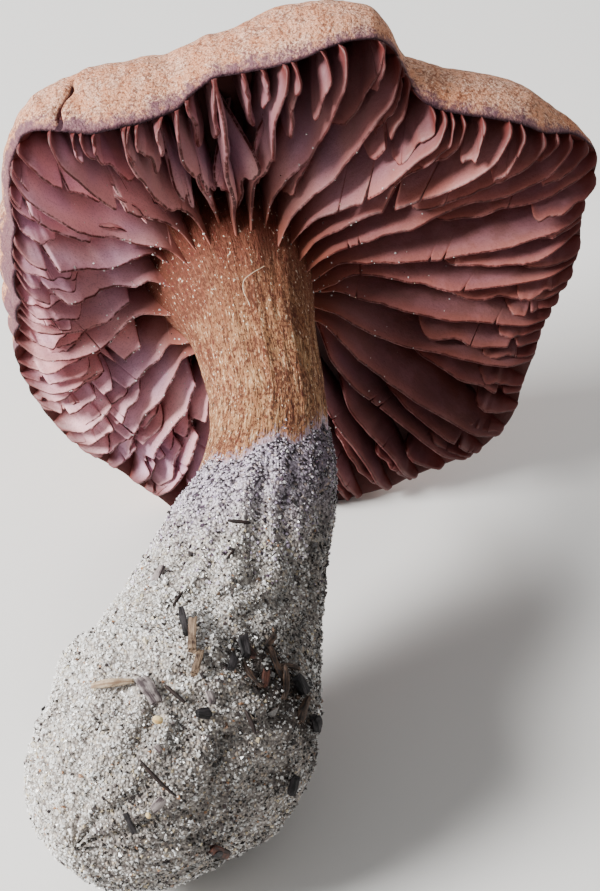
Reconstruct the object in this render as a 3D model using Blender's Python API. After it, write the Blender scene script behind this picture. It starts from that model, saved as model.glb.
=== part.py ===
"""A sandy laccaria as picked: a tan cap with thick, distant gills, a curved stem and the sand that clings to it.

The mushroom is shaped standing up, with the middle of its stem's top at the origin. Directions round the cap
are angles from +X towards -Y, which run anticlockwise as seen from below. It is then laid on its side, on two
lobes of the cap's margin and a flat spot on the sand coat, with the foot of the stem towards -Y.
"""

import math
import random

import bmesh
import bpy
from mathutils import Matrix, Vector

# The cap: its widest radius by direction, and how far the margin rolls in past the widest line
CAP_RADII = (
    (0, 0.0369), (9, 0.0376), (18, 0.0404), (28, 0.0384), (36, 0.0360), (43, 0.0332), (49, 0.0314),
    (55, 0.0306), (60, 0.0323), (66, 0.0342), (75, 0.0332), (91, 0.0295), (103, 0.0279), (113, 0.0286),
    (123, 0.0302), (133, 0.0315), (146, 0.0297), (157, 0.0277), (182, 0.0257), (200, 0.0263),
    (222, 0.0278), (239, 0.0288), (249, 0.0304), (257, 0.0319), (267, 0.0303), (277, 0.0306), (288, 0.0332),
    (306, 0.0352), (318, 0.0376), (334, 0.0356), (347, 0.0352),
)
MARGIN_ROLL = ((0, 0), (22, 6), (30, 18), (50, 20), (57, 9), (66, 16), (80, 24), (95, 19), (110, 26), (124, 25),
               (131, 17), (138, 5), (160, 0), (200, 0), (290, 0))
DOME_RISE = 0.0140
CROWN_RADIUS = 0.0320
CROWN_LEAN = 80
WIDEST_HEIGHT = -0.0032
CROWN_DIP = 0.0016
CROWN_DIP_RADIUS = 0.010
FLESH_AT_CROWN = 0.0046
FLESH_AT_MARGIN = 0.0008
FLESH_FALL = 0.8
GAP = 0.0003
CAP_SIDES = 60
SKIN_SHARES = (0.14, 0.3, 0.46, 0.62, 0.76, 0.88, 0.96, 1)
UNDER_SHARES = (0, 0.16, 0.33, 0.5, 0.66, 0.8, 0.91, 1)

# The gills and the layer they grow from
LAYER = 0.0009
HOLE_RADIUS = 0.0091
LIP_LEAN = 4
BLADE = 0.0007
ROOT_SUNK = 0.0005
MAIN_GILLS = 30
GILL_TOP_RADIUS = 0.0082
EDGE_AT_STEM = -0.0036
EDGE_AT_MIDDLE = -0.0046
EDGE_AT_MARGIN = 0.0004
BLADE_STATIONS = 8
WAVE = 0.5
WAVES = 7
LEAN = 0.5
UPRIGHT_GILLS = 98
SHORT_DEPTH = 0.88
NOSE = 2.2
NOSE_START = 0.05
SHORT_GILLS_PAST = 0.0345

# The stem: points down its bent centre line, its radius at each, and the sand coat's outer radius at the later ones
STEM_LINE = ((0, 0, 0.0040), (0, 0.0004, -0.0050), (0.0003, 0.0026, -0.0136), (0.0005, 0.0062, -0.0220),
             (-0.0017, 0.0104, -0.0296), (-0.0051, 0.0147, -0.0368), (-0.0086, 0.0186, -0.0442),
             (-0.0124, 0.0208, -0.0518), (-0.0174, 0.0208, -0.0584))
STEM_RADII = (0.0073, 0.0074, 0.0063, 0.0060, 0.0064, 0.0074, 0.0090, 0.0106, 0.0084)
COAT_RADII = (0.0080, 0.0080, 0.0070, 0.0069, 0.0075, 0.0092, 0.0114, 0.0135, 0.0112)
COAT_TOP = 3.42
COAT_SLANT = 0.42
COAT_LOW_SIDE = 195
STEM_SIDES = 32
STEM_STEPS = 20
COAT_STEPS = 12
SLANT_STEPS = 8
END_STEPS = 6
STEM_STEP = 0.0087

# How the picked mushroom lies
LAY_TURN = math.radians(7.46)
LAY_ROLL = math.radians(-1.40)
LAY_TIP = math.radians(-93.21)
LAID_AT = (-0.00627, 0.03058, 0.03109)

# Plant litter on the sand coat: spot along and turn round the stem, heading, curl, length, width, thickness, colour
SCRAPS = {
    "needle_short": (4.7, -94, -10, 4, 0.0023, 0.0006, 0.0006, "dark_bark"),
    "bark_sliver": (5.59, -126, -83, 0, 0.0023, 0.0008, 0.0006, "pale_bark"),
    "wood_chip_1": (6.82, -86, 69, 3, 0.0038, 0.0009, 0.0007, "wood"),
    "wood_chip_2": (7.31, -72, 70, 0, 0.0030, 0.0008, 0.0007, "wood"),
    "root_piece": (7.97, -99, -31, 8, 0.0040, 0.0009, 0.0008, "root"),
    "bark_flake": (7.88, -80, 30, 0, 0.0034, 0.0015, 0.0006, "pale_bark"),
    "seed": (8.08, -69, -23, 0, 0.0010, 0.0008, 0.0008, "root"),
    "charcoal_1": (7.72, -54, -50, 0, 0.0013, 0.0011, 0.0010, "charcoal"),
    "charcoal_2": (6.72, -19, 13, 0, 0.0016, 0.0012, 0.0010, "charcoal"),
    "needle_long": (8.31, -50, -2, 10, 0.0048, 0.0006, 0.0006, "dark_bark"),
}
SCRAP_SECTIONS = 6
SCRAP_SIDES = 6
SCRAP_TAPER = 0.8

SLOPE_STEP = 0.5
LINE_STEP = 0.01
CREASE = math.radians(40)

COLOURS = {
    "cap": (0.56, 0.36, 0.27),
    "gills": (0.31, 0.14, 0.13),
    "stem": (0.50, 0.31, 0.19),
    "sand_coat": (0.42, 0.39, 0.38),
    "dark_bark": (0.05, 0.03, 0.02),
    "pale_bark": (0.22, 0.19, 0.17),
    "wood": (0.24, 0.15, 0.09),
    "root": (0.45, 0.36, 0.24),
    "charcoal": (0.02, 0.02, 0.02),
}


def around(points, angle):
    """A smooth value at an angle in degrees, through (angle, value) points that go once round."""
    angle %= 360
    count = len(points)
    after = next((i for i, p in enumerate(points) if p[0] > angle), 0)

    def point(i):
        turn, i = divmod(i, count)
        return points[i][0] + 360 * turn, points[i][1]

    if after == 0 and angle >= points[-1][0]:
        after = count
    (a0, v0), (a1, v1), (a2, v2), (a3, v3) = (point(after + k) for k in (-2, -1, 0, 1))
    return hermite(angle, a0, v0, a1, v1, a2, v2, a3, v3)


def along(points, t):
    """A smooth value at t, through (t, value) points, held at both ends."""
    t = min(max(t, points[0][0]), points[-1][0])
    i = next((k for k in range(1, len(points)) if points[k][0] >= t), len(points) - 1)
    first, last = points[max(i - 2, 0)], points[min(i + 1, len(points) - 1)]
    (a1, v1), (a2, v2) = points[i - 1], points[i]
    a0, v0 = first if i > 1 else (2 * a1 - a2, v1)
    a3, v3 = last if i < len(points) - 1 else (2 * a2 - a1, v2)
    return hermite(t, a0, v0, a1, v1, a2, v2, a3, v3)


def hermite(x, a0, v0, a1, v1, a2, v2, a3, v3):
    span = a2 - a1
    u = (x - a1) / span
    m1 = (v2 - v0) / (a2 - a0) * span
    m2 = (v3 - v1) / (a3 - a1) * span
    return ((2 * u**3 - 3 * u**2 + 1) * v1 + (u**3 - 2 * u**2 + u) * m1
            + (3 * u**2 - 2 * u**3) * v2 + (u**3 - u**2) * m2)


def mix(a, b, t):
    return a + (b - a) * t


def smooth(t):
    t = min(max(t, 0), 1)
    return t * t * (3 - 2 * t)


def polar(angle, radius, height):
    turn = math.radians(angle)
    return Vector((radius * math.cos(turn), -radius * math.sin(turn), height))


def dome(angle, lean):
    """(radius, height) of the cap's skin. Lean is 0 at the crown, 90 on the widest line and more on the margin."""
    spread = mix(CROWN_RADIUS, around(CAP_RADII, angle), smooth(lean / CROWN_LEAN))
    radius = spread * math.sin(math.radians(lean))
    dip = CROWN_DIP * math.exp(-((radius / CROWN_DIP_RADIUS) ** 2)) if lean < 90 else 0
    return radius, WIDEST_HEIGHT + DOME_RISE * math.cos(math.radians(lean)) - dip


def inside_dome(angle, lean, depth):
    """(radius, height) of the point that lies the given depth under the skin."""
    r0, h0 = dome(angle, lean - SLOPE_STEP)
    r1, h1 = dome(angle, lean + SLOPE_STEP)
    dr, dh = r1 - r0, h1 - h0
    length = math.hypot(dr, dh)
    radius, height = dome(angle, lean)
    return radius + dh / length * depth, height - dr / length * depth


def margin_lean(angle):
    return 90 + around(MARGIN_ROLL, angle)


def flesh(share):
    return mix(FLESH_AT_CROWN, FLESH_AT_MARGIN, smooth(share) ** FLESH_FALL)


def ring(bm, points):
    return [bm.verts.new(p) for p in points]


def bridge(bm, lower, upper):
    count = len(lower)
    for i in range(count):
        j = (i + 1) % count
        bm.faces.new((lower[i], lower[j], upper[j], upper[i]))


def fan(bm, edge, tip):
    centre = bm.verts.new(tip)
    count = len(edge)
    for i in range(count):
        bm.faces.new((edge[i], edge[(i + 1) % count], centre))


def finish(bm, name):
    bmesh.ops.recalc_face_normals(bm, faces=bm.faces)
    mesh = bpy.data.meshes.new(name)
    bm.to_mesh(mesh)
    bm.free()
    mesh.shade_smooth()
    mesh.set_sharp_from_angle(angle=CREASE)
    obj = bpy.data.objects.new(name, mesh)
    bpy.context.scene.collection.objects.link(obj)
    return obj


def under_cap(angle, share, depth=0.0):
    """(radius, height) on the flesh's lower face, from the stem to the margin, or the given depth below it."""
    lean_at_stem = math.degrees(math.asin(HOLE_RADIUS / around(CAP_RADII, angle)))
    lean = mix(lean_at_stem, margin_lean(angle) - LIP_LEAN, share)
    return inside_dome(angle, lean, flesh(share) + depth)


def cap_angles():
    return [360 * i / CAP_SIDES for i in range(CAP_SIDES)]


def make_cap():
    bm = bmesh.new()
    rings = []
    for share in SKIN_SHARES:
        rings.append(ring(bm, [polar(a, *dome(a, share * margin_lean(a))) for a in cap_angles()]))
    for share in reversed(UNDER_SHARES):
        rings.append(ring(bm, [polar(a, *under_cap(a, share)) for a in cap_angles()]))
    for lower, upper in zip(rings, rings[1:]):
        bridge(bm, lower, upper)
    crown = dome(0, 0)[1]
    fan(bm, rings[0], (0, 0, crown))
    fan(bm, rings[-1], (0, 0, crown - FLESH_AT_CROWN))
    return finish(bm, "cap")


def gill_edge(angle, share):
    """(radius, height) on the free edges of the gills, which hang lowest halfway out."""
    r_out, h_out = under_cap(angle, 1, GAP + LAYER)
    height = along(((0, EDGE_AT_STEM), (0.45, EDGE_AT_MIDDLE), (1, h_out - EDGE_AT_MARGIN)), share)
    return mix(GILL_TOP_RADIUS, r_out - EDGE_AT_MARGIN, share), height


def make_layer():
    bm = bmesh.new()
    rings = []
    for share in UNDER_SHARES:
        rings.append(ring(bm, [polar(a, *under_cap(a, share, GAP)) for a in cap_angles()]))
    for share in reversed(UNDER_SHARES):
        rings.append(ring(bm, [polar(a, *under_cap(a, share, GAP + LAYER)) for a in cap_angles()]))
    for lower, upper in zip(rings, rings[1:] + rings[:1]):
        bridge(bm, lower, upper)
    return finish(bm, "gills")


def droop(angle):
    """How far a gill leans as it hangs towards the underside: 1 on the left, -1 on the right and 0 on top."""
    side = math.sin(math.radians(angle - UPRIGHT_GILLS))
    return math.copysign(math.sqrt(abs(side)), side)


def make_blade(name, base, start, bend, lean):
    """One gill. Start is the share of the way to the margin where it begins, and bend curves it."""
    bm = bmesh.new()
    stations = max(round(mix(BLADE_STATIONS, 1, start)), 4)
    left, right = [], []
    for i in range(stations):
        u = i / (stations - 1)
        share = mix(start, 1, u)
        angle = base + bend * share**1.5 + WAVE * math.sin(WAVES * share + base)
        root = under_cap(angle, share, GAP + LAYER - ROOT_SUNK)
        edge = gill_edge(angle, share)
        if start:
            reach = SHORT_DEPTH * math.sin(min(NOSE * u + NOSE_START, 1) * math.pi / 2)
            edge = [mix(a, b, reach) for a, b in zip(root, edge)]
        depth = math.dist(root, edge)
        edge_angle = angle + math.degrees(lean * smooth(2 * share) * depth / edge[0])
        for side, way in ((left, -1), (right, 1)):
            side.append([bm.verts.new(polar(a + way * math.degrees(BLADE / 2 / r), r, h))
                         for a, (r, h) in ((angle, root), (edge_angle, edge))])
    for i in range(stations - 1):
        for side in (left, right):
            bm.faces.new((side[i][0], side[i + 1][0], side[i + 1][1]))
            bm.faces.new((side[i][0], side[i + 1][1], side[i][1]))
        for k in (0, 1):
            bm.faces.new((left[i][k], left[i + 1][k], right[i + 1][k], right[i][k]))
    for i in (0, -1):
        bm.faces.new((left[i][0], left[i][1], right[i][1], right[i][0]))
    return finish(bm, name)


def gill_plan():
    """The gills' directions and shapes: full ones, a half one in each gap, and short ones where the gaps are wide."""
    draw = random.Random(11)
    step = 360 / MAIN_GILLS
    plan = []
    for k in range(MAIN_GILLS):
        base = k * step
        plan.append((base + draw.uniform(-1.2, 1.2), 0, draw.uniform(-3, 3)))
        plan.append((base + step / 2 + draw.uniform(-0.8, 0.8), draw.uniform(0.3, 0.45), draw.uniform(-2, 2)))
        for side in (0.25, 0.75):
            here = base + side * step
            if around(CAP_RADII, here) > SHORT_GILLS_PAST:
                plan.append((here + draw.uniform(-0.6, 0.6), draw.uniform(0.68, 0.76), 0))
    return [(base, start, bend, LEAN * droop(base) * draw.uniform(0.8, 1.2)) for base, start, bend in plan]


def union(target, pieces):
    """Fuses the pieces into the target, and removes them."""
    group = bpy.data.collections.new("fused")
    for piece in pieces:
        bpy.context.scene.collection.objects.unlink(piece)
        group.objects.link(piece)
    modifier = target.modifiers.new("fuse", "BOOLEAN")
    modifier.operation = "UNION"
    modifier.operand_type = "COLLECTION"
    modifier.collection = group
    modifier.solver = "MANIFOLD"
    graph = bpy.context.evaluated_depsgraph_get()
    fused = bpy.data.meshes.new_from_object(target.evaluated_get(graph))
    target.modifiers.clear()
    target.data = fused
    for piece in pieces:
        bpy.data.objects.remove(piece)
    bpy.data.collections.remove(group)


def make_gills():
    layer = make_layer()
    blades = [make_blade(f"gill_{i}", *shape) for i, shape in enumerate(gill_plan())]
    union(layer, blades)
    return layer


def spline(values, t):
    """A point on the smooth curve through the values, where t counts them from 0."""
    last = len(values) - 1
    i = min(max(int(t), 0), last - 1)
    u = t - i
    before, here, ahead, after = (values[min(max(k, 0), last)] for k in (i - 1, i, i + 1, i + 2))
    return (here * 2 + (ahead - before) * u + (before * 2 - here * 5 + ahead * 4 - after) * u**2
            + (here * 3 - before - ahead * 3 + after) * u**3) * 0.5


def stem_frame(t):
    """The stem's centre at t, the way it runs, and two directions across it: to the right, and to the underside."""
    line = [Vector(p) for p in STEM_LINE]
    way = (spline(line, t + LINE_STEP) - spline(line, t - LINE_STEP)).normalized()
    right = (Vector((1, 0, 0)) - way * way.x).normalized()
    return spline(line, t), way, right, right.cross(way)


def stem_skin(t, turn, radii, extra=0.0):
    """The point on the skin at a turn in degrees, and the way out of it. Past the last point, t runs round the end."""
    last = len(STEM_LINE) - 1
    spot = min(t, last)
    bend = max(t - last, 0) * math.pi / 2
    centre, way, right, under = stem_frame(spot)
    turn = math.radians(turn)
    across = right * math.cos(turn) + under * math.sin(turn)
    out = way * math.sin(bend) + across * math.cos(bend)
    return centre + out * (spline(radii, spot) + extra), out


def stem_ring(bm, t, radii, extra=0.0, slant=0.0):
    turns = [360 * i / STEM_SIDES for i in range(STEM_SIDES)]
    spots = [t + slant * math.cos(math.radians(turn - COAT_LOW_SIDE)) for turn in turns]
    return ring(bm, [stem_skin(spot, turn, radii, extra)[0] for spot, turn in zip(spots, turns)])


def stem_tip(radii, extra=0.0):
    return stem_skin(len(STEM_LINE), 0, radii, extra)[0]


def make_stem():
    bm = bmesh.new()
    last = len(STEM_LINE) - 1
    spots = [last * i / STEM_STEPS for i in range(STEM_STEPS + 1)]
    spots += [last + i / END_STEPS for i in range(1, END_STEPS)]
    rings = [stem_ring(bm, t, STEM_RADII) for t in spots]
    for lower, upper in zip(rings, rings[1:]):
        bridge(bm, lower, upper)
    fan(bm, rings[0], STEM_LINE[0])
    fan(bm, rings[-1], stem_tip(STEM_RADII))
    return finish(bm, "stem")


def make_coat():
    bm = bmesh.new()
    last = len(STEM_LINE) - 1
    spots = [mix(COAT_TOP, last, i / COAT_STEPS) for i in range(COAT_STEPS + 1)]
    spots += [last + i / END_STEPS for i in range(1, END_STEPS)]
    slants = [COAT_SLANT * max(1 - i / SLANT_STEPS, 0) for i in range(len(spots))]
    outer = [stem_ring(bm, t, COAT_RADII, 0, k) for t, k in zip(spots, slants)]
    inner = [stem_ring(bm, t, STEM_RADII, GAP, k) for t, k in zip(spots, slants)]
    for rings in (outer, inner):
        for lower, upper in zip(rings, rings[1:]):
            bridge(bm, lower, upper)
    bridge(bm, outer[0], inner[0])
    fan(bm, outer[-1], stem_tip(COAT_RADII))
    fan(bm, inner[-1], stem_tip(STEM_RADII, GAP))
    return finish(bm, "sand_coat")


def make_scrap(name, t, turn, heading, curl, length, width, thickness):
    """A bit of plant litter that follows the sand coat's skin, from a spot on it, at a heading across the stem."""
    bm = bmesh.new()
    rings = []
    for i in range(SCRAP_SECTIONS):
        u = 2 * i / (SCRAP_SECTIONS - 1) - 1
        aim = math.radians(heading + curl * u)
        reach = length / 2 * u
        spot = t + reach * math.sin(aim) / STEM_STEP
        skin_radius = (stem_skin(t, turn, COAT_RADII)[0] - stem_frame(min(t, len(STEM_LINE) - 1))[0]).length
        angle = turn + math.degrees(reach * math.cos(aim) / skin_radius)
        centre, out = stem_skin(spot, angle, COAT_RADII, GAP + thickness / 2)
        step = (LINE_STEP * math.sin(aim), SLOPE_STEP * math.cos(aim))
        ahead, _ = stem_skin(spot + step[0], angle + step[1], COAT_RADII, GAP + thickness / 2)
        side = (ahead - centre).cross(out).normalized()
        swell = math.sqrt(1 - SCRAP_TAPER * u * u)
        corners = [2 * math.pi * k / SCRAP_SIDES for k in range(SCRAP_SIDES)]
        rings.append(ring(bm, [centre + side * (math.cos(a) * width / 2 * swell)
                               + out * (math.sin(a) * thickness / 2) for a in corners]))
    for lower, upper in zip(rings, rings[1:]):
        bridge(bm, lower, upper)
    bm.faces.new(rings[0])
    bm.faces.new(rings[-1])
    return finish(bm, name)


def press_flat(obj):
    """Presses a small flat spot where the sand coat lies on the surface."""
    bm = bmesh.new()
    bm.from_mesh(obj.data)
    geometry = bm.verts[:] + bm.edges[:] + bm.faces[:]
    cut = bmesh.ops.bisect_plane(bm, geom=geometry, plane_co=(0, 0, 0), plane_no=(0, 0, -1), clear_outer=True)
    bmesh.ops.contextual_create(bm, geom=[e for e in cut["geom_cut"] if isinstance(e, bmesh.types.BMEdge)])
    bmesh.ops.recalc_face_normals(bm, faces=bm.faces)
    bm.to_mesh(obj.data)
    bm.free()


def lay_down(objects):
    """Lays the mushroom on its side, with the origin on the surface under the middle of its box."""
    lay = Matrix.Rotation(LAY_TURN, 4, "Z") @ Matrix.Rotation(LAY_ROLL, 4, "Y") @ Matrix.Rotation(LAY_TIP, 4, "X")
    for obj in objects:
        obj.data.transform(Matrix.Translation(LAID_AT) @ lay)


def paint(obj, colour):
    material = bpy.data.materials.new(colour)
    material.use_nodes = True
    shader = material.node_tree.nodes["Principled BSDF"]
    shader.inputs["Base Color"].default_value = (*COLOURS[colour], 1)
    shader.inputs["Roughness"].default_value = 0.8
    obj.data.materials.clear()
    obj.data.materials.append(material)


def main():
    for obj in list(bpy.data.objects):
        bpy.data.objects.remove(obj)
    body = [make_cap(), make_gills(), make_stem(), make_coat()]
    scraps = [make_scrap(name, *sizes[:-1]) for name, sizes in SCRAPS.items()]
    lay_down(body + scraps)
    press_flat(body[-1])
    for obj in body:
        paint(obj, obj.name)
    for obj in scraps:
        paint(obj, SCRAPS[obj.name][-1])


main()
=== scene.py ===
import math
import random

import bpy
import numpy as np
from mathutils import Matrix, Vector


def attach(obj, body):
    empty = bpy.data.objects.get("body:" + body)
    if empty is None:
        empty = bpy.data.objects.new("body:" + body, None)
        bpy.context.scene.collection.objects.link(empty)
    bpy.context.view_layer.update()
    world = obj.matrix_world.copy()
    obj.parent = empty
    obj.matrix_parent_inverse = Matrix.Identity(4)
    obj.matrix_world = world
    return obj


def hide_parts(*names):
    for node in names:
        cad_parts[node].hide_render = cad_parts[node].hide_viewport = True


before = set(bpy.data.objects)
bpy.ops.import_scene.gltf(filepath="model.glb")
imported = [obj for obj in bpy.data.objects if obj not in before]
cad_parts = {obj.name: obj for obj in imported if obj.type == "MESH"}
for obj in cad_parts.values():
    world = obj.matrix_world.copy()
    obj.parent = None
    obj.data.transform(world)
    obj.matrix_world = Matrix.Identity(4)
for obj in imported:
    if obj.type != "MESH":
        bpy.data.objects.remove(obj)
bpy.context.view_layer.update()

bl_info = {
    "name": "Sandy Laccaria",
    "version": (1, 0, 0),
    "blender": (4, 5, 0),
    "location": "3D View > Sidebar > Laccaria",
    "description": "Dresses a picked sandy laccaria: cap skin, gills, stem, sand crust and plant litter",
    "category": "Add Mesh",
}

MM = 0.001

# The shapes below stand up, with the middle of the stem's top at the origin and directions round the cap
# counted from +X towards -Y. They follow the solids that they replace, and are laid down on them at the end.
LAY_TURN = math.radians(7.46)
LAY_ROLL = math.radians(-1.40)
LAY_TIP = math.radians(-93.21)
LAID_AT = (-0.00627, 0.03058, 0.03109)

# The cap: its widest radius by direction, and how far the margin rolls in past the widest line
CAP_RADII = (
    (0, 0.0369), (9, 0.0376), (18, 0.0404), (28, 0.0384), (36, 0.0360), (43, 0.0332), (49, 0.0314),
    (55, 0.0306), (60, 0.0323), (66, 0.0342), (75, 0.0332), (91, 0.0295), (103, 0.0279), (113, 0.0286),
    (123, 0.0302), (133, 0.0315), (146, 0.0297), (157, 0.0277), (182, 0.0257), (200, 0.0263),
    (222, 0.0278), (239, 0.0288), (249, 0.0304), (257, 0.0319), (267, 0.0303), (277, 0.0306), (288, 0.0332),
    (306, 0.0352), (318, 0.0376), (334, 0.0356), (347, 0.0352),
)
MARGIN_ROLL = (
    (0, 0), (22, 6), (30, 18), (50, 20), (57, 9), (66, 16), (80, 24), (95, 19), (110, 26), (124, 25),
    (131, 17), (138, 5), (160, 0), (200, 0), (290, 0),
)
DOME_RISE = 0.0140
CROWN_RADIUS = 0.0320
WIDEST_HEIGHT = -0.0032
CROWN_DIP = 0.0016
CROWN_DIP_RADIUS = 0.010
FLESH_AT_CROWN = 0.0046
FLESH_AT_MARGIN = 0.0008
GAP = 0.0003
LAYER = 0.0009
HOLE_RADIUS = 0.0091
LIP_LEAN = 4
LEFT_ANGLE = 181
LEFT_CURL = 21
SCALLOPS = 21
SCALLOP_DEPTH = 0.85 * MM

# The gills
MAIN_GILLS = 30
EDGE_AT_STEM = -0.0050
EDGE_AT_MIDDLE = -0.0046
EDGE_AT_MARGIN = 0.0003
WAVE = 0.5
WAVES = 7
LEAN = 0.3
UPRIGHT_GILLS = 98
SHORT_GILLS_PAST = 0.0345

# The stem: points down its bent centre line, its radius at each, and the sand coat's outer radius
STEM_LINE = ((0, 0, 0.0040), (0, 0.0004, -0.0050), (0.0003, 0.0026, -0.0136), (0.0005, 0.0062, -0.0220),
             (-0.0017, 0.0104, -0.0296), (-0.0051, 0.0147, -0.0368), (-0.0086, 0.0186, -0.0442),
             (-0.0124, 0.0208, -0.0518), (-0.0174, 0.0208, -0.0584))
STEM_RADII = (0.0073, 0.0074, 0.0063, 0.0061, 0.0069, 0.0077, 0.0090, 0.0106, 0.0084)
COAT_RADII = (0.0080, 0.0080, 0.0070, 0.0070, 0.0079, 0.0092, 0.0114, 0.0135, 0.0110)
COAT_TOP = 3.42
COAT_SLANT = 0.42
COAT_LOW_SIDE = 195
# One step down the centre line in metres, and how many steps down the foot ends
STEM_STEP = 0.0087
FOOT_END = 8.98

# Plant litter on the sand coat: spot along and turn round the stem, heading, curl, length, width, thickness
SCRAPS = {
    "needle_short": (4.7, -94, -10, 4, 0.0023, 0.0006, 0.0006),
    "bark_sliver": (5.59, -126, -83, 0, 0.0023, 0.0008, 0.0006),
    "wood_chip_1": (6.82, -86, 69, 3, 0.0038, 0.0009, 0.0007),
    "wood_chip_2": (7.31, -72, 70, 0, 0.0030, 0.0008, 0.0007),
    "root_piece": (7.97, -99, -31, 8, 0.0040, 0.0009, 0.0008),
    "bark_flake": (7.88, -80, 30, 0, 0.0034, 0.0015, 0.0006),
    "seed": (8.08, -69, -23, 0, 0.0010, 0.0008, 0.0008),
    "charcoal_1": (7.72, -54, -50, 0, 0.0013, 0.0011, 0.0010),
    "charcoal_2": (6.72, -19, 13, 0, 0.0016, 0.0012, 0.0010),
    "needle_long": (8.31, -50, -2, 10, 0.0048, 0.0006, 0.0006),
}
# Smaller bits that have no solid of their own
SMALL_SCRAPS = {
    "needle_bit_1": (5.15, -92, -69, 0, 0.0013, 0.0005, 0.0004),
    "needle_bit_2": (6.05, -105, -75, 0, 0.0018, 0.0005, 0.0004),
    "charcoal_bit_1": (6.55, -94, 61, 0, 0.0030, 0.0007, 0.0006),
    "needle_bit_3": (7.74, -69, 7, 5, 0.0026, 0.0006, 0.0004),
    "bark_bit_1": (8.40, -39, 80, 0, 0.0014, 0.0009, 0.0006),
    "needle_bit_4": (7.37, -39, 17, 0, 0.0024, 0.0006, 0.0005),
    "husk_bit_1": (6.52, -50, 35, 14, 0.0038, 0.0007, 0.0005),
    "husk_bit_2": (6.70, -44, 66, -10, 0.0034, 0.0007, 0.0005),
    "charcoal_bit_2": (8.57, -40, 12, 0, 0.0020, 0.0006, 0.0005),
    "bark_bit_2": (8.20, -60, 10, 0, 0.0008, 0.0007, 0.0005),
    "charcoal_bit_3": (7.46, -178, 25, 0, 0.0012, 0.0008, 0.0006),
    "charcoal_bit_4": (8.16, 10, -44, 0, 0.0012, 0.0009, 0.0006),
    "seed_bit_1": (8.47, -37, 10, 0, 0.0006, 0.0005, 0.0005),
    "husk_bit_3": (6.30, -57, 100, 8, 0.0024, 0.0006, 0.0005),
    "charcoal_bit_5": (6.59, -67, 60, 0, 0.0020, 0.0012, 0.0008),
    "charcoal_bit_6": (6.97, -66, 75, 0, 0.0016, 0.0009, 0.0007),
    "bark_bit_4": (7.52, -57, 30, 0, 0.0012, 0.0009, 0.0006),
    "charcoal_bit_7": (7.22, -3, 30, 0, 0.0018, 0.0011, 0.0008),
    "charcoal_bit_8": (6.55, -36, 20, 0, 0.0020, 0.0013, 0.0009),
    "husk_bit_4": (6.75, -29, 85, 12, 0.0030, 0.0009, 0.0006),
    "leaf_bit_1": (8.12, 13, -42, 0, 0.0046, 0.0012, 0.0005),
    "leaf_bit_2": (6.62, -64, 20, 0, 0.0013, 0.0009, 0.0005),
    "leaf_bit_3": (6.86, -52, 70, 0, 0.0016, 0.0009, 0.0005),
    "husk_bit_5": (6.92, -57, 20, 20, 0.0030, 0.0005, 0.0004),
    "husk_bit_6": (6.44, -44, -30, -20, 0.0028, 0.0005, 0.0004),
}

# The photograph's view: its size, its lens in pixels, the distance, and the pixel of the stem's top
IMAGE_SIZE = (600, 891)
LENS_PX = 2730
CAMERA_DISTANCE = 0.300
STEM_TOP_PX = (240, 262)
CAMERA_AZIMUTH = math.radians(-1.003)
CAMERA_ELEVATION = math.radians(39.231)
CAMERA_ROLL = math.radians(1.524)


def srgb(red, green, blue):
    """A colour seen on a screen, from 0 to 255 in each channel, as the linear colour that shaders use."""
    parts = (channel / 255 for channel in (red, green, blue))
    return tuple(part / 12.92 if part <= 0.04 else ((part + 0.055) / 1.055) ** 2.4 for part in parts)


# Shapes shared by the pieces

def hermite(x, a0, v0, a1, v1, a2, v2, a3, v3):
    """The smooth curve through four (place, value) points, at x between the middle two."""
    span = a2 - a1
    u = (x - a1) / span
    m1 = (v2 - v0) / (a2 - a0) * span
    m2 = (v3 - v1) / (a3 - a1) * span
    return ((2 * u**3 - 3 * u**2 + 1) * v1 + (u**3 - 2 * u**2 + u) * m1
            + (3 * u**2 - 2 * u**3) * v2 + (u**3 - u**2) * m2)


def along(points, t):
    """A smooth value at t, through (t, value) points, held at both ends."""
    xs, ys = zip(*points)
    xs = np.array(xs, float)
    ys = np.array([np.broadcast_to(y, np.shape(t)) for y in ys], float)
    t = np.clip(t, xs[0], xs[-1])
    last = len(xs) - 1
    i = np.clip(np.searchsorted(xs, t, side="right"), 1, last)
    before = np.maximum(i - 2, 0)
    after = np.minimum(i + 1, last)

    def value(k):
        return np.take_along_axis(ys, k[None], 0)[0]

    a1, a2, v1, v2 = xs[i - 1], xs[i], value(i - 1), value(i)
    a0 = np.where(i > 1, xs[before], 2 * a1 - a2)
    v0 = np.where(i > 1, value(before), v1)
    a3 = np.where(i < last, xs[after], 2 * a2 - a1)
    v3 = np.where(i < last, value(after), v2)
    return hermite(t, a0, v0, a1, v1, a2, v2, a3, v3)


def round_table(points):
    """Values at each degree, on the smooth curve through (angle, value) points that go once round."""
    before = [(angle - 360, value) for angle, value in points[-2:]]
    after = [(angle + 360, value) for angle, value in points[:3]]
    return along((*before, *points, *after), np.arange(361.0))


CAP_TABLE = round_table(CAP_RADII)
ROLL_TABLE = round_table(MARGIN_ROLL)


def at_angle(table, angle):
    """A value from a table of one for each degree."""
    return np.interp(np.asarray(angle) % 360, np.arange(361), table)


def mix(a, b, t):
    """From a at t = 0 to b at t = 1."""
    return a + (b - a) * t


def smooth(t):
    """From 0 to 1 as t does, level at both ends."""
    t = np.clip(t, 0, 1)
    return t * t * (3 - 2 * t)


def vectors(x, y, z):
    """Vectors from their three parts, each a number or an array."""
    return np.stack(np.broadcast_arrays(x, y, z), -1)


def unit(vector):
    return vector / np.linalg.norm(vector, axis=-1, keepdims=True)


def all_round(count):
    """Evenly spaced directions in degrees, as one row."""
    return np.linspace(0, 360, count, endpoint=False)[None, :]


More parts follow.
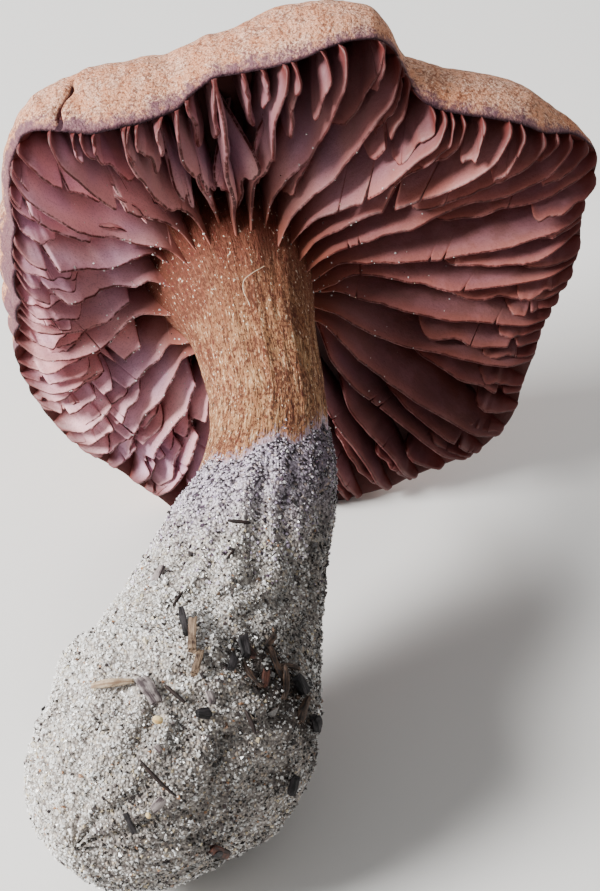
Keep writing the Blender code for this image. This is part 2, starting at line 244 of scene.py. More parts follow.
def polar(angle, radius, height):
    """Points at a direction, a radius and a height."""
    turn = np.radians(angle)
    return vectors(radius * np.cos(turn), -radius * np.sin(turn), height)


def across(angle):
    """The way round the cap at an angle, towards greater angles."""
    turn = np.radians(angle)
    return vectors(-np.sin(turn), -np.cos(turn), 0)


def ripple(points, size, seed):
    """Smooth random waves from -1 to 1 at points, of a size in metres, the same each time for a seed."""
    cells = np.random.default_rng(seed).random((32, 32, 32)) * 2 - 1
    place = np.asarray(points) / size
    low = np.floor(place).astype(int)
    part = place - low
    part = part * part * (3 - 2 * part)
    total = 0
    for corner in np.ndindex(2, 2, 2):
        weight = np.prod([part[..., k] if corner[k] else 1 - part[..., k] for k in range(3)], axis=0)
        total = total + weight * cells[tuple((low[..., k] + corner[k]) % 32 for k in range(3))]
    return total


def left_side(angle, width):
    """1 on the left of the cap, falling away to 0 over a width in degrees."""
    return np.exp(-(((np.asarray(angle, float) % 360) - LEFT_ANGLE) / width) ** 2)


def cap_radius(angle):
    """The widest radius, with the small lobes and nicks that a grown margin has."""
    angle = np.asarray(angle, float)
    place = polar(angle, 0.03, 0)
    lobes = 0.30 * MM * ripple(place, 0.0042, 3) + 0.16 * MM * ripple(place, 0.0016, 4)
    scallops = np.abs(np.sin(np.radians(angle * SCALLOPS) + 2 * ripple(place, 0.01, 5))) ** 0.6 - 0.6
    return at_angle(CAP_TABLE, angle) + lobes + SCALLOP_DEPTH * scallops * left_side(angle, 28)


def margin_lean(angle):
    """The lean at the margin, which rolls in and curls up on the left."""
    return 90 + at_angle(ROLL_TABLE, angle) + LEFT_CURL * left_side(angle + 12, 26)


def dome(angle, lean):
    """(radius, height) of the cap's skin. Lean is 0 at the crown and 90 on the widest line."""
    lean = np.asarray(lean, float)
    spread = mix(CROWN_RADIUS, cap_radius(angle), smooth(lean / 80))
    radius = spread * np.sin(np.radians(lean))
    dip = np.where(lean < 90, CROWN_DIP * np.exp(-((radius / CROWN_DIP_RADIUS) ** 2)), 0)
    return radius, WIDEST_HEIGHT + DOME_RISE * np.cos(np.radians(lean)) - dip


def inside_dome(angle, lean, depth):
    """(radius, height) of the point that lies the given depth under the skin."""
    r0, h0 = dome(angle, lean - 0.5)
    r1, h1 = dome(angle, lean + 0.5)
    dr, dh = r1 - r0, h1 - h0
    length = np.hypot(dr, dh)
    radius, height = dome(angle, lean)
    return radius + dh / length * depth, height - dr / length * depth


def flesh(share):
    """The flesh's thickness, by share of the way from the stem to the margin."""
    return mix(FLESH_AT_CROWN, FLESH_AT_MARGIN, smooth(share) ** 0.8)


def under_cap(angle, share, depth=0.0):
    """(radius, height) on the flesh's lower face, from stem to margin, or the given depth below it."""
    lean_at_stem = np.degrees(np.arcsin(HOLE_RADIUS / at_angle(CAP_TABLE, angle)))
    lean = mix(lean_at_stem, margin_lean(angle) - LIP_LEAN, share)
    return inside_dome(angle, lean, flesh(share) + depth)


def to_rim(angle, share, radius, height):
    """(radius, height) drawn out to the skin's margin near it, so that no bare lip shows."""
    rim_radius, rim_height = dome(angle, margin_lean(angle))
    near = smooth((share - 0.9) / 0.1) * 0.96
    return mix(radius, rim_radius, near), mix(height, rim_height, near)


def spline(values, t):
    """Points on the smooth curve through the values, where t counts them from 0."""
    values = np.asarray(values, float)
    last = len(values) - 1
    t = np.asarray(t, float)
    i = np.clip(np.floor(t).astype(int), 0, last - 1)
    u = t - i
    if values.ndim > 1:
        u = u[..., None]
    before, here, ahead, after = (values[np.clip(i + k, 0, last)] for k in (-1, 0, 1, 2))
    return 0.5 * (2 * here + (ahead - before) * u + (2 * before - 5 * here + 4 * ahead - after) * u**2
                  + (3 * here - before - 3 * ahead + after) * u**3)


def stem_skin(t, turn, radii, extra=0.0):
    """Points on the stem's skin and the ways out of it. Past the last point t runs round the foot's end."""
    last = len(STEM_LINE) - 1
    t, turn = np.broadcast_arrays(np.asarray(t, float), np.asarray(turn, float))
    spot = np.minimum(t, last)
    bend = np.maximum(t - last, 0) * math.pi / 2
    centre = spline(STEM_LINE, spot)
    way = unit(spline(STEM_LINE, spot + 0.01) - spline(STEM_LINE, spot - 0.01))
    right = unit(np.array((1.0, 0, 0)) - way * way[..., :1])
    under = np.cross(right, way)
    angle = np.radians(turn)[..., None]
    side = right * np.cos(angle) + under * np.sin(angle)
    out = way * np.sin(bend)[..., None] + side * np.cos(bend)[..., None]
    return centre + out * (spline(radii, spot) + extra)[..., None], out


# Meshes

def lay_down(points):
    """Points of the standing mushroom, laid where the solids lie, and none of them under the surface."""
    turn = Matrix.Rotation(LAY_TURN, 3, "Z")
    turn = turn @ Matrix.Rotation(LAY_ROLL, 3, "Y") @ Matrix.Rotation(LAY_TIP, 3, "X")
    laid = np.asarray(points).reshape(-1, 3) @ np.array(turn).T + LAID_AT
    laid[:, 2] = np.maximum(laid[:, 2], 0.02 * MM)
    return laid


def grid_faces(rows, columns, closed=False):
    """Four-sided faces of a grid of points. A closed one joins its last column to its first."""
    r = np.arange(rows - 1)[:, None]
    c = np.arange(columns if closed else columns - 1)[None, :]
    d = (c + 1) % columns
    here, below = r * columns, (r + 1) * columns
    return np.stack((here + c, here + d, below + d, below + c), -1).reshape(-1, 4)


def sheet_faces(rows, columns):
    """Faces of a closed thin sheet: a front grid, then a back grid like it, joined round the border."""
    front = grid_faces(rows, columns)
    n = rows * columns
    border = np.concatenate((np.arange(columns), np.arange(1, rows) * columns + columns - 1,
                             n - 2 - np.arange(columns - 1), np.arange(rows - 2, 0, -1) * columns))
    after = np.roll(border, -1)
    rim = np.stack((after, border, border + n, after + n), -1)
    return np.concatenate((front, front[:, ::-1] + n, rim))


def add_mesh(name, points, faces, marks, sharp=False):
    """A piece made of points in the laid frame, with named values at each point for its finish."""
    mesh = bpy.data.meshes.new(name)
    mesh.from_pydata(points.tolist(), [], faces if isinstance(faces, list) else faces.tolist())
    for mark, values in marks.items():
        values = np.asarray(values, np.float32)
        kind, field = ("FLOAT_VECTOR", "vector") if values.shape[-1] == 3 else ("FLOAT", "value")
        mesh.attributes.new(mark, kind, "POINT").data.foreach_set(field, values.ravel())
    if not sharp:
        mesh.shade_smooth()
    mesh.update()
    piece = bpy.data.objects.new(name, mesh)
    bpy.context.scene.collection.objects.link(piece)
    return piece


def add_rings(name, rings, marks, sharp=False):
    """A piece made of rings of points of the standing mushroom, joined in order, with both ends closed."""
    count, sides = rings.shape[:2]
    faces = grid_faces(count, sides, closed=True).tolist()
    faces += [list(range(sides))[::-1], [(count - 1) * sides + i for i in range(sides)]]
    return add_mesh(name, lay_down(rings), faces, marks, sharp)


def hand_over(piece, material, slot, *nodes):
    """Gives a piece its finish and body, and hides the solids that it stands for."""
    piece.data.materials.append(material)
    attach(piece, "root")
    if nodes:
        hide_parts(*nodes)


# Shader maths

class Wire:
    """A socket in a material. Python's operators on it add Math nodes."""

    def __init__(self, finish, socket):
        self.finish = finish
        self.socket = socket

    def maths(self, operation, *others):
        """A Math node on this value and others."""
        return self.finish.node("ShaderNodeMath", {"operation": operation}, dict(enumerate((self, *others))))

    def __add__(self, other):
        return self.maths("ADD", other)

    def __sub__(self, other):
        return self.maths("SUBTRACT", other)

    def __rsub__(self, other):
        return self.finish.node("ShaderNodeMath", {"operation": "SUBTRACT"}, {0: other, 1: self})

    def __mul__(self, other):
        return self.maths("MULTIPLY", other)

    __radd__ = __add__
    __rmul__ = __mul__

    def clamp(self, low, high, to_low=0.0, to_high=1.0):
        """0 below low, 1 above high, smooth between them, or two other ends."""
        ends = {"Value": self, "From Min": low, "From Max": high, "To Min": to_low, "To Max": to_high}
        return self.finish.node("ShaderNodeMapRange", {"interpolation_type": "SMOOTHSTEP"}, ends)


class Finish:
    """A material built from Python. It starts with a colour, and others are painted over it."""

    def __init__(self, name, colour=None):
        self.material = bpy.data.materials.new(name)
        self.material.use_nodes = True
        self.tree = self.material.node_tree
        self.shader = self.tree.nodes["Principled BSDF"]
        self.colour = colour

    def plug(self, socket, value):
        """Links a wire to a socket, or sets the socket to a number or colour."""
        if isinstance(value, Wire):
            self.tree.links.new(value.socket, socket)
        elif socket.type == "RGBA":
            socket.default_value = (*value, 1)
        else:
            socket.default_value = value

    def node(self, kind, settings=None, values=None, out=0):
        """A node of any type: its settings are set first, then its sockets get values or links."""
        node = self.tree.nodes.new(kind)
        for name, value in (settings or {}).items():
            setattr(node, name, value)
        for name, value in (values or {}).items():
            self.plug(node.inputs[name], value)
        return Wire(self, node.outputs[out])

    def noise(self, where, size, detail=3.0, rough=0.55):
        """Noise with features of a size in metres, from 0 to 1."""
        look = {"Vector": where, "Scale": 1 / size, "Detail": detail, "Roughness": rough}
        return self.node("ShaderNodeTexNoise", {}, look)

    def cells(self, where, size):
        """The distance to the nearest of scattered points, a size in metres apart."""
        return self.node("ShaderNodeTexVoronoi", {}, {"Vector": where, "Scale": 1 / size})

    def mark(self, name):
        """A number stored at the mesh's points."""
        return self.node("ShaderNodeAttribute", {"attribute_name": name}, {}, out=2)

    def marks(self, name):
        """Three numbers stored at the mesh's points, as one vector."""
        return self.node("ShaderNodeAttribute", {"attribute_name": name}, {}, out=1)

    def cell_draw(self, where, size):
        """A random number from 0 to 1 for each of scattered cells."""
        cells = self.node("ShaderNodeTexVoronoi", {}, {"Vector": where, "Scale": 1 / size}, out=1)
        return self.node("ShaderNodeSeparateColor", {}, {0: cells})

    def part(self, vector, axis):
        """The x, y or z of a vector, by 0, 1 or 2."""
        return self.node("ShaderNodeSeparateXYZ", {}, {0: vector}, out=axis)

    def here(self):
        """The place on the object, in metres."""
        return self.node("ShaderNodeTexCoord", {}, {}, out=3)

    def stretched(self, where, scale):
        """A place with each of its parts times that of scale."""
        return self.node("ShaderNodeVectorMath", {"operation": "MULTIPLY"}, {0: where, 1: scale})

    def blend(self, factor, first, second):
        """A mix of two colours."""
        return self.node("ShaderNodeMix", {"data_type": "RGBA"}, {0: factor, 6: first, 7: second}, out=2)

    def paint(self, cover, colour):
        """Lays a colour over the one so far, as thickly as cover says."""
        self.colour = self.blend(cover, self.colour, colour)

    def finish(self, roughness=0.7, height=None, relief=0.0001, **fixed):
        """Wires the shader: colour, roughness, bumps of a height in metres, and fixed values by name."""
        self.plug(self.shader.inputs["Base Color"], self.colour)
        self.plug(self.shader.inputs["Roughness"], roughness)
        for name, value in fixed.items():
            self.shader.inputs[name.replace("_", " ")].default_value = value
        if height is not None:
            bump = self.node("ShaderNodeBump", {}, {"Height": height, "Distance": relief, "Strength": 1.0})
            self.plug(self.shader.inputs["Normal"], bump)
        return self.material


# Settings

COLOUR = {"subtype": "COLOR", "min": 0, "max": 1}
LENGTH = {"unit": "LENGTH", "precision": 5}


class CapSettings(bpy.types.PropertyGroup):
    skin: bpy.props.FloatVectorProperty(
        name="Skin", description="The cap's tan skin", default=srgb(238, 172, 138), **COLOUR)
    speck: bpy.props.FloatVectorProperty(
        name="Specks", description="Fine red-brown scales on the skin", default=srgb(146, 84, 58), **COLOUR)
    margin: bpy.props.FloatVectorProperty(
        name="Margin", description="The violet-grey bloom along the margin", default=srgb(112, 78, 94),
        **COLOUR)
    lump: bpy.props.FloatProperty(
        name="Lumps", description="How far the skin swells and dips", default=0.28 * MM, min=0, max=1 * MM,
        **LENGTH)


class GillSettings(bpy.types.PropertyGroup):
    face: bpy.props.FloatVectorProperty(
        name="Face", description="The mauve-pink faces of the gills", default=srgb(236, 182, 186), **COLOUR)
    # The right face colour is painted shade: the darker, redder gills on the side away from the light.
    shade: bpy.props.FloatVectorProperty(
        name="Right face", description="The redder faces on the right of the cap", default=srgb(138, 84, 86),
        **COLOUR)
    # The root colour is partly the gills' rust and partly painted shade deep between them.
    root: bpy.props.FloatVectorProperty(
        name="Root", description="The rust colour deep between the gills", default=srgb(142, 66, 54),
        **COLOUR)
    edge: bpy.props.FloatVectorProperty(
        name="Edge", description="The dark worn edges", default=srgb(70, 14, 12), **COLOUR)
    thickness: bpy.props.FloatProperty(
        name="Thickness", description="Thickness of a gill at its root", default=0.8 * MM, min=0.2 * MM,
        max=2 * MM, **LENGTH)


class StemSettings(bpy.types.PropertyGroup):
    flesh: bpy.props.FloatVectorProperty(
        name="Fibres", description="The stem's ochre fibres", default=srgb(172, 126, 88), **COLOUR)
    scurf: bpy.props.FloatVectorProperty(
        name="Scurf", description="The red-brown scurf on the stem", default=srgb(88, 46, 30), **COLOUR)
    blush: bpy.props.FloatVectorProperty(
        name="Blush", description="The stem's colour where the gills run onto it", default=srgb(98, 42, 32),
        **COLOUR)
    ridge: bpy.props.FloatProperty(
        name="Ridges", description="Height of the fibres that run down the stem", default=0.14 * MM, min=0,
        max=1 * MM, **LENGTH)


class SandSettings(bpy.types.PropertyGroup):
    grain: bpy.props.FloatProperty(
        name="Grain", description="Width of a middling sand grain", default=0.28 * MM, min=0.1 * MM,
        max=2 * MM, **LENGTH)
    count: bpy.props.IntProperty(
        name="Grains", description="How many grains stand out of the crust", default=36000, min=0, max=60000)
    soil: bpy.props.IntProperty(
        name="Soil", description="How many bits of dark soil cling to the sand", default=2600, min=0,
        max=10000)
    bed: bpy.props.FloatVectorProperty(
        name="Bed", description="The crust seen between the grains", default=srgb(176, 168, 160), **COLOUR)
    violet: bpy.props.FloatVectorProperty(
        name="Violet", description="The tint of the crust's upper edge", default=srgb(214, 200, 222),
        **COLOUR)


class StageSettings(bpy.types.PropertyGroup):
    floor: bpy.props.FloatVectorProperty(
        name="Floor", description="The pale floor", default=srgb(240, 239, 237), **COLOUR)
    key: bpy.props.FloatProperty(
        name="Key light", description="Strength of the large light at the upper left", default=16.5, min=0,
        soft_max=30, unit="POWER")
    fill: bpy.props.FloatProperty(
        name="Fill", description="Strength of the light from all round", default=0.36, min=0, soft_max=5)


# Cap

CRACK_ANGLE = 126.4
CRACK_LEAN = 96
CRACK_WIDTH = 0.7
CRACK_DEPTH = 0.9 * MM
CAP_COLUMNS = 470
CRACK_COLUMNS = 48
CAP_RINGS = 90
UNDER_RINGS = 8


def crack_mask(angle, lean):
    """1 in the crack that runs up from the margin on the left, and 0 away from it."""
    middle = CRACK_ANGLE + 0.3 * (lean - CRACK_LEAN) + 0.5 * np.sin(lean * 0.45)
    width = CRACK_WIDTH * (0.4 + 0.6 * smooth((lean - 84) / 16))
    return np.exp(-((angle - middle) / width) ** 2) * smooth((lean - 81) / 3)


class CAP_OT_dress(bpy.types.Operator):
    """Builds the cap's skin, flesh and margin over the cap's solid"""
    bl_idname = "laccaria.cap"
    bl_label = "Cap"

    def execute(self, context):
        look = context.scene.laccaria_cap
        finer = np.linspace(CRACK_ANGLE - 5, CRACK_ANGLE + 6, CRACK_COLUMNS)
        angles = np.sort(np.concatenate((all_round(CAP_COLUMNS)[0], finer)))[None, :]
        shares = np.linspace(0.004, 1, CAP_RINGS)[:, None]
        lean = shares * margin_lean(angles)
        points = polar(angles, *dome(angles, lean))
        swell = look.lump * ripple(points, 0.005, 11) + 0.4 * look.lump * ripple(points, 0.0014, 12)
        swell += 0.05 * MM * ripple(points, 0.0006, 13)
        crack = crack_mask(angles, lean)
        away = unit(points - (0, 0, WIDEST_HEIGHT - 0.004))
        points = points + away * ((swell - CRACK_DEPTH * crack) * smooth((1.002 - shares) * 40))[..., None]
        under_shares = np.linspace(1, 0, UNDER_RINGS)[:, None]
        inner = polar(angles, *to_rim(angles, under_shares, *under_cap(angles, under_shares)))
        rings = np.concatenate((points, inner))
        edge = np.concatenate((shares + 0 * angles, 1.02 + 0 * under_shares + 0 * angles))
        cracks = np.concatenate((crack, 0 * inner[..., 0]))
        turn = np.radians(angles)
        rays = 0.03 * vectors(np.cos(turn), np.sin(turn), 0.16 * edge)
        curled = left_side(angles + 8, 34) + 0 * edge
        marks = {"out": edge, "crack": cracks, "rays": rays, "curled": curled}
        hand_over(add_rings("cap_skin", rings, marks), cap_finish(look), "cap", "cap")
        return {"FINISHED"}


def cap_finish(look):
    skin = Finish("cap_skin", look.skin)
    where = skin.here()
    edge, crack, curled = skin.mark("out"), skin.mark("crack"), skin.mark("curled")
    fine = skin.noise(where, 0.00026, 3, 0.75)
    felt = skin.noise(where, 0.0007, 3, 0.6)
    mid = skin.noise(where, 0.0024, 3)
    broad = skin.noise(where, 0.010, 2)
    scales = skin.cells(where, 0.00040)
    rays = skin.noise(skin.marks("rays"), 0.0011, 4, 0.6)
    middle = 1 - (edge + (broad - 0.5) * 0.5).clamp(0.05, 0.7)
    skin.paint((broad * 0.6 + rays * 0.4).clamp(0.42, 0.60) * 0.8, srgb(208, 138, 100))
    skin.paint(middle * 0.5, srgb(170, 108, 76))
    skin.paint((mid * 0.6 + felt * 0.4).clamp(0.44, 0.60) * 0.75, srgb(250, 204, 178))
    specks = (fine * 0.6 + felt * 0.25 + rays * 0.15 + (mid - 0.5) * 0.2).clamp(0.47, 0.58)
    skin.paint(specks * 0.8, look.speck)
    skin.paint((1 - fine).clamp(0.56, 0.66) * 0.55, srgb(255, 222, 200))
    skin.paint(scales.clamp(0.6, 0.85) * 0.6, srgb(104, 58, 44))
    rim = edge + curled * (0.03 + felt * 0.10)
    rim = (rim + (felt - 0.5) * 0.10 + (mid - 0.5) * 0.11 + (fine - 0.5) * 0.05).clamp(0.935, 0.99)
    skin.paint(rim * 0.85, look.margin)
    line = (edge + (fine - 0.5) * 0.014).clamp(0.98, 0.997)
    skin.paint(line * 0.92, srgb(50, 24, 36))
    # Painted shade: the crack in the skin is painted dark red-brown.
    skin.paint(crack.clamp(0.2, 0.6), srgb(62, 20, 18))
    height = fine * 0.8 + felt * 0.6 + scales * 0.3 + rays * 0.6
    return skin.finish(0.85, height, 0.0004, Specular_IOR_Level=0.2)


# Gills

# Where gills start, as shares of the way from the stem to the margin
HALF_START = (0.3, 0.45)
SHORT_START = (0.68, 0.76)
BETWEEN_START = (0.38, 0.6)
BETWEEN_START_ON_TOP = (0.5, 0.75)
TOP_WIDTH = 42
# Directions of the torn scraps about the stem's top
TORN_SCRAPS = (64, 77, 88, 96, 103, 112, 120, 131, 142, 152)
# How many places along each kind of gill have points
FULL_STATIONS = 115
HALF_STATIONS = 66
SHORT_STATIONS = 32
BETWEEN_STATIONS = 44
BED_COLUMNS = 300


def droop(angle):
    """How far a gill leans as it hangs towards the underside: 1 on the left, -1 on the right and 0 on top."""
    side = math.sin(math.radians(angle - UPRIGHT_GILLS))
    return math.copysign(math.sqrt(abs(side)), side)


def gill_plan():
    """The gills' directions and shapes: full ones, a half one in each gap, and short ones in wide gaps."""
    draw = random.Random(11)
    step = 360 / MAIN_GILLS
    plan = []
    for k in range(MAIN_GILLS):
        base = k * step
        plan.append((base + draw.uniform(-1.2, 1.2), 0, draw.uniform(-3, 3)))
        plan.append((base + step / 2 + draw.uniform(-0.8, 0.8), draw.uniform(*HALF_START),
                     draw.uniform(-2, 2)))
        for side in (0.25, 0.75):
            here = base + side * step
            if at_angle(CAP_TABLE, here) > SHORT_GILLS_PAST:
                plan.append((here + draw.uniform(-0.6, 0.6), draw.uniform(*SHORT_START), 0))
    return [(base, start, bend, LEAN * droop(base) * draw.uniform(0.8, 1.2)) for base, start, bend in plan]


def between_gills():
    """Gills with no solid of their own: more short ones at the sides, and torn scraps by the stem's top."""
    draw = random.Random(23)
    step = 360 / MAIN_GILLS
    plan = []
    for k in range(2 * MAIN_GILLS):
        here = (k // 2 + (0.25, 0.75)[k % 2]) * step
        from_top = abs((here - UPRIGHT_GILLS + 180) % 360 - 180)
        start = draw.uniform(*(BETWEEN_START if from_top > TOP_WIDTH else BETWEEN_START_ON_TOP))
        if at_angle(CAP_TABLE, here) <= SHORT_GILLS_PAST and (from_top > TOP_WIDTH or draw.random() < 0.6):
            plan.append((here + draw.uniform(-1, 1), start, draw.uniform(-2, 2),
                         LEAN * droop(here) * draw.uniform(0.8, 1.2), 1.0, 0))
    for here in TORN_SCRAPS:
        start = draw.uniform(0.04, 0.2)
        plan.append((here, start, draw.uniform(-16, 16), draw.uniform(-0.9, 0.9),
                     start + draw.uniform(0.2, 0.36), 0))
    return plan


TORN_SIDE = (195, 292)
TORN_CHANCE = 0.35
TORN_CHANCE_ELSEWHERE = 0.12
# The spread of the stem's top on its right and left, in mm, and how far down it reaches along the stem
FLARE = (1.3, 3.7)
FLARE_REACH = (1.35, 2.4)


def torn_at(base):
    """How far out a full gill is torn away from the stem: some at the lower left are, and a few others."""
    draw = random.Random(round(base * 100))
    chance = TORN_CHANCE if TORN_SIDE[0] < base < TORN_SIDE[1] else TORN_CHANCE_ELSEWHERE
    return draw.uniform(0.05, 0.2) if draw.random() < chance else 0


def stem_flare(t, turn):
    """How far the stem's top spreads to meet the gills, most on the left."""
    left = 0.5 + 0.5 * np.cos(np.radians(turn) - math.pi)
    spread = (1 - smooth(np.asarray(t) / mix(*FLARE_REACH, left))) ** 1.6
    return mix(*FLARE, left) * MM * spread


def stem_side(angle, height):
    """The stem's radius from the upright axis, at a direction and height."""
    line = np.array(STEM_LINE)
    t = np.interp(-np.asarray(height, float), -line[:, 2], np.arange(len(line)))
    centre = spline(STEM_LINE, t)
    turn = np.radians(angle)
    ahead = centre[..., 0] * np.cos(turn) - centre[..., 1] * np.sin(turn)
    beside = centre[..., 0] * np.sin(turn) + centre[..., 1] * np.cos(turn)
    radius = spline(STEM_RADII, t) + stem_flare(t, -angle)
    return ahead + np.sqrt(np.maximum(radius**2 - beside**2, 1e-9))


ON_STEM = 0.2
RUN_DOWN = 0.09
BLADE_DEPTHS = np.array((0, 0.18, 0.36, 0.52, 0.66, 0.78, 0.87, 0.935, 0.975, 0.993, 1))
BLUNT_FROM = 0.93
CRACK_HALF = 0.005
RIM_DEPTH = 0.0013
LEAN_DEPTH = 0.006
# How far down the stem a full gill grows, in mm
FOOT_DOWN = (4.5, 8)
# The length and drop over which a gill's waves are laid
WAVE_LENGTH = 0.032
WAVE_DROP = 0.005


def gill_blade(rows, base, start, bend, lean, stop, cut, thickness, seed):
    """The points of one gill, front then back, and marks: how far across it and out, and its own draw.

    It runs from start to stop, as shares of the way from the stem to the margin, and is torn short of cut.
    """
    draw = np.random.default_rng(seed)
    cracks = [(draw.uniform(0.3, 0.95), 0.06 + 0.6 * draw.random() ** 3) for _ in range(draw.integers(0, 3))]
    extra = [where + k * CRACK_HALF for where, _ in cracks for k in (-1, -0.3, 0, 0.3, 1)]
    u = np.sort(np.concatenate((np.linspace(0, 1, rows), extra)))[:, None]
    v = BLADE_DEPTHS[None, :]
    whole = start == 0
    share = np.clip((u - ON_STEM) / (1 - ON_STEM), 0, 1) if whole else mix(start, stop, u)
    angle = base + bend * share**1.5 + WAVE * np.sin(WAVES * share + base)
    root_r, root_h = to_rim(angle, share, *under_cap(angle, share, GAP + LAYER - 0.0005))
    rim_r, rim_h = dome(angle, margin_lean(angle))
    out = u**1.6 if whole else share
    profile = along(((0, EDGE_AT_STEM), (0.45, EDGE_AT_MIDDLE), (0.85, -0.0024), (1, 0)), out)
    curled = left_side(base, 30)
    over_rim = mix(EDGE_AT_MARGIN, RIM_DEPTH, abs(droop(base)) * (1 - curled))
    profile = profile + smooth(out) ** 1.5 * (rim_h - over_rim)
    profile = profile + 0.8 * MM * curled * smooth((out - 0.75) * 4)
    profile = profile + draw.uniform(-0.5, 0.4) * MM * np.sin(np.pi * out)
    if whole:
        foot = -draw.uniform(*FOOT_DOWN) * MM
        climb = smooth(u / ON_STEM)
        low = mix(foot, root_h, climb)
        root_r = np.where(u < ON_STEM, stem_side(angle, low) - 0.0003, root_r)
        root_h = np.where(u < ON_STEM, low, root_h)
        edge_h = mix(foot, profile, 1 - np.exp(-out / RUN_DOWN))
        near_stem = stem_side(angle, edge_h) + 0.35 * MM * smooth(u * 8) - 0.1 * MM
        edge_r = mix(near_stem, rim_r, out)
        keep = mix(0.22, 1, np.sqrt(np.clip((share - cut) / 0.10, 0, 1))) if cut else np.ones_like(u)
    else:
        edge_h = profile
        edge_r = mix(0.0079, rim_r, out)
        corner = draw.uniform(0.16, 0.4)
        nose = 1 - np.clip(u / corner, 0, 1)
        tail = np.clip((u - 1) / corner + 1, 0, 1) * (stop < 1)
        keep = np.sqrt((1 - nose**2 * 0.995) * (1 - tail**2 * 0.995)) * draw.uniform(0.8, 1.0)
    strip = vectors(u * WAVE_LENGTH, 0, 0)
    fade = smooth(out * 8)
    nicks = 0.08 * ripple(strip, 0.0055, seed) - 0.04 + 0.014 * ripple(strip, 0.0016, seed + 1)
    keep = keep * (1 + fade * (nicks + 0.005 * ripple(strip, 0.0005, seed + 5)))
    for where, deep in cracks:
        keep = keep * (1 - deep * np.clip(1 - np.abs(u - where) / CRACK_HALF, 0, 1) * fade)
    for _ in range(2 if TORN_SIDE[0] < base < TORN_SIDE[1] else int(draw.random() < 0.35)):
        where, wide = draw.uniform(0.3, 0.9), draw.uniform(0.03, 0.09)
        tear = smooth((u - where) / 0.012) * smooth((where + wide - u) / wide * 1.6)
        keep = keep * (1 - draw.uniform(0.2, 0.55) * tear * fade)
    end = np.clip((share - 0.975) / 0.025, 0, 1)
    keep = keep * np.sqrt(1 - 0.8 * end**2)
    deep = v * keep
    radius = mix(root_r, edge_r, deep)
    height = mix(root_h, edge_h, deep)
    flow = vectors(u * WAVE_LENGTH, deep * WAVE_DROP, 0)
    wave = 0.5 * MM * ripple(flow, 0.0085, seed + 2) + 0.2 * MM * ripple(flow, 0.0036, seed + 3)
    wave = wave * smooth(v * 1.4) * smooth(out * 4) * mix(1, 0.4, smooth((share - 0.8) * 5))
    reach = np.sqrt(np.hypot(edge_r - root_r, edge_h - root_h) * LEAN_DEPTH)
    side = lean * smooth(2 * share) * reach * deep * (0.75 + 0.25 * v) + wave
    points = polar(angle, radius, height) + across(angle) * side[..., None]
    blunt = np.sqrt(1 - 0.97 * np.clip((v - BLUNT_FROM) / (1 - BLUNT_FROM), 0, 1) ** 2)
    half = thickness / 2 * mix(1, mix(0.85, 0.4, abs(droop(base))), v) * blunt * mix(0.5, 1, smooth(out * 6))
    half = half * mix(1, 0.6, smooth(share * 6 - 5))
    half = half * (1 + 0.12 * ripple(flow, 0.0015, seed + 4))
    step = across(angle) * half[..., None]
    both = np.concatenate(((points + step).reshape(-1, 3), (points - step).reshape(-1, 3)))
    marks = vectors(v, out, (seed % 97) / 97).reshape(-1, 3)
    return both, np.concatenate((marks, marks)), len(u)


def add_gills(name, blades, material, nodes=()):
    """One piece from several gills, each given as the number of its stations and its shape."""
    points, faces, marks, count = [], [], [], 0
    for shape in blades:
        p, q, rows = gill_blade(*shape)
        points.append(p)
        marks.append(q)
        faces.append(sheet_faces(rows, len(BLADE_DEPTHS)) + count)
        count += len(p)
    laid = lay_down(np.concatenate(points))
    piece = add_mesh(name, laid, np.concatenate(faces), {"gill": np.concatenate(marks)})
    hand_over(piece, material, "gills", *nodes)


class GILLS_OT_dress(bpy.types.Operator):
    """Builds the gills one by one, and the face that they grow from"""
    bl_idname = "laccaria.gills"
    bl_label = "Gills"

    def execute(self, context):
        look = context.scene.laccaria_gills
        material = gill_finish(look)
        full, part, small = [], [], []
        for i, shape in enumerate(gill_plan()):
            own = (look.thickness, 100 + 7 * i)
            if shape[1] == 0:
                full.append((FULL_STATIONS, *shape, 1.0, torn_at(shape[0]), *own))
            else:
                stations = HALF_STATIONS if shape[1] < 0.5 else SHORT_STATIONS
                part.append((stations, *shape, 1.0, 0, *own))
        for i, shape in enumerate(between_gills()):
            small.append((BETWEEN_STATIONS, *shape, look.thickness * 0.8, 900 + 7 * i))
        add_gills("gills_full", full, material, ("gills",))
        add_gills("gills_short", part, material)
        add_gills("gills_between", small, material)
        add_gill_bed(material)
        return {"FINISHED"}


def add_gill_bed(material):
    """The thin face that the gills grow from, drawn out to the margin."""
    angles = all_round(BED_COLUMNS)
    shares = np.concatenate((np.linspace(-0.12, 0.9, 16), np.linspace(0.92, 1, 8)))[:, None]
    lower = polar(angles, *to_rim(angles, shares, *under_cap(angles, shares, GAP + LAYER)))
    upper = polar(angles, *to_rim(angles, shares[::-3], *under_cap(angles, shares[::-3], GAP * 0.2)))
    ring = np.concatenate((lower, upper))
    last = (len(ring) - 1) * BED_COLUMNS
    i = np.arange(BED_COLUMNS)
    after = (i + 1) % BED_COLUMNS
    closing = np.stack((last + i, last + after, after, i), -1)
    faces = np.concatenate((grid_faces(len(ring), BED_COLUMNS, closed=True), closing))
    # An across mark of -1 picks out the bed, which the gills' finish paints dark as shade between them.
    marks = np.full(ring.shape, -1.0)
    marks[:len(shares), :, 1] = np.maximum(shares, 0)
    marks[len(shares):, :, 1] = 1
    hand_over(add_mesh("gill_bed", lay_down(ring), faces, {"gill": marks}), material, "gills")


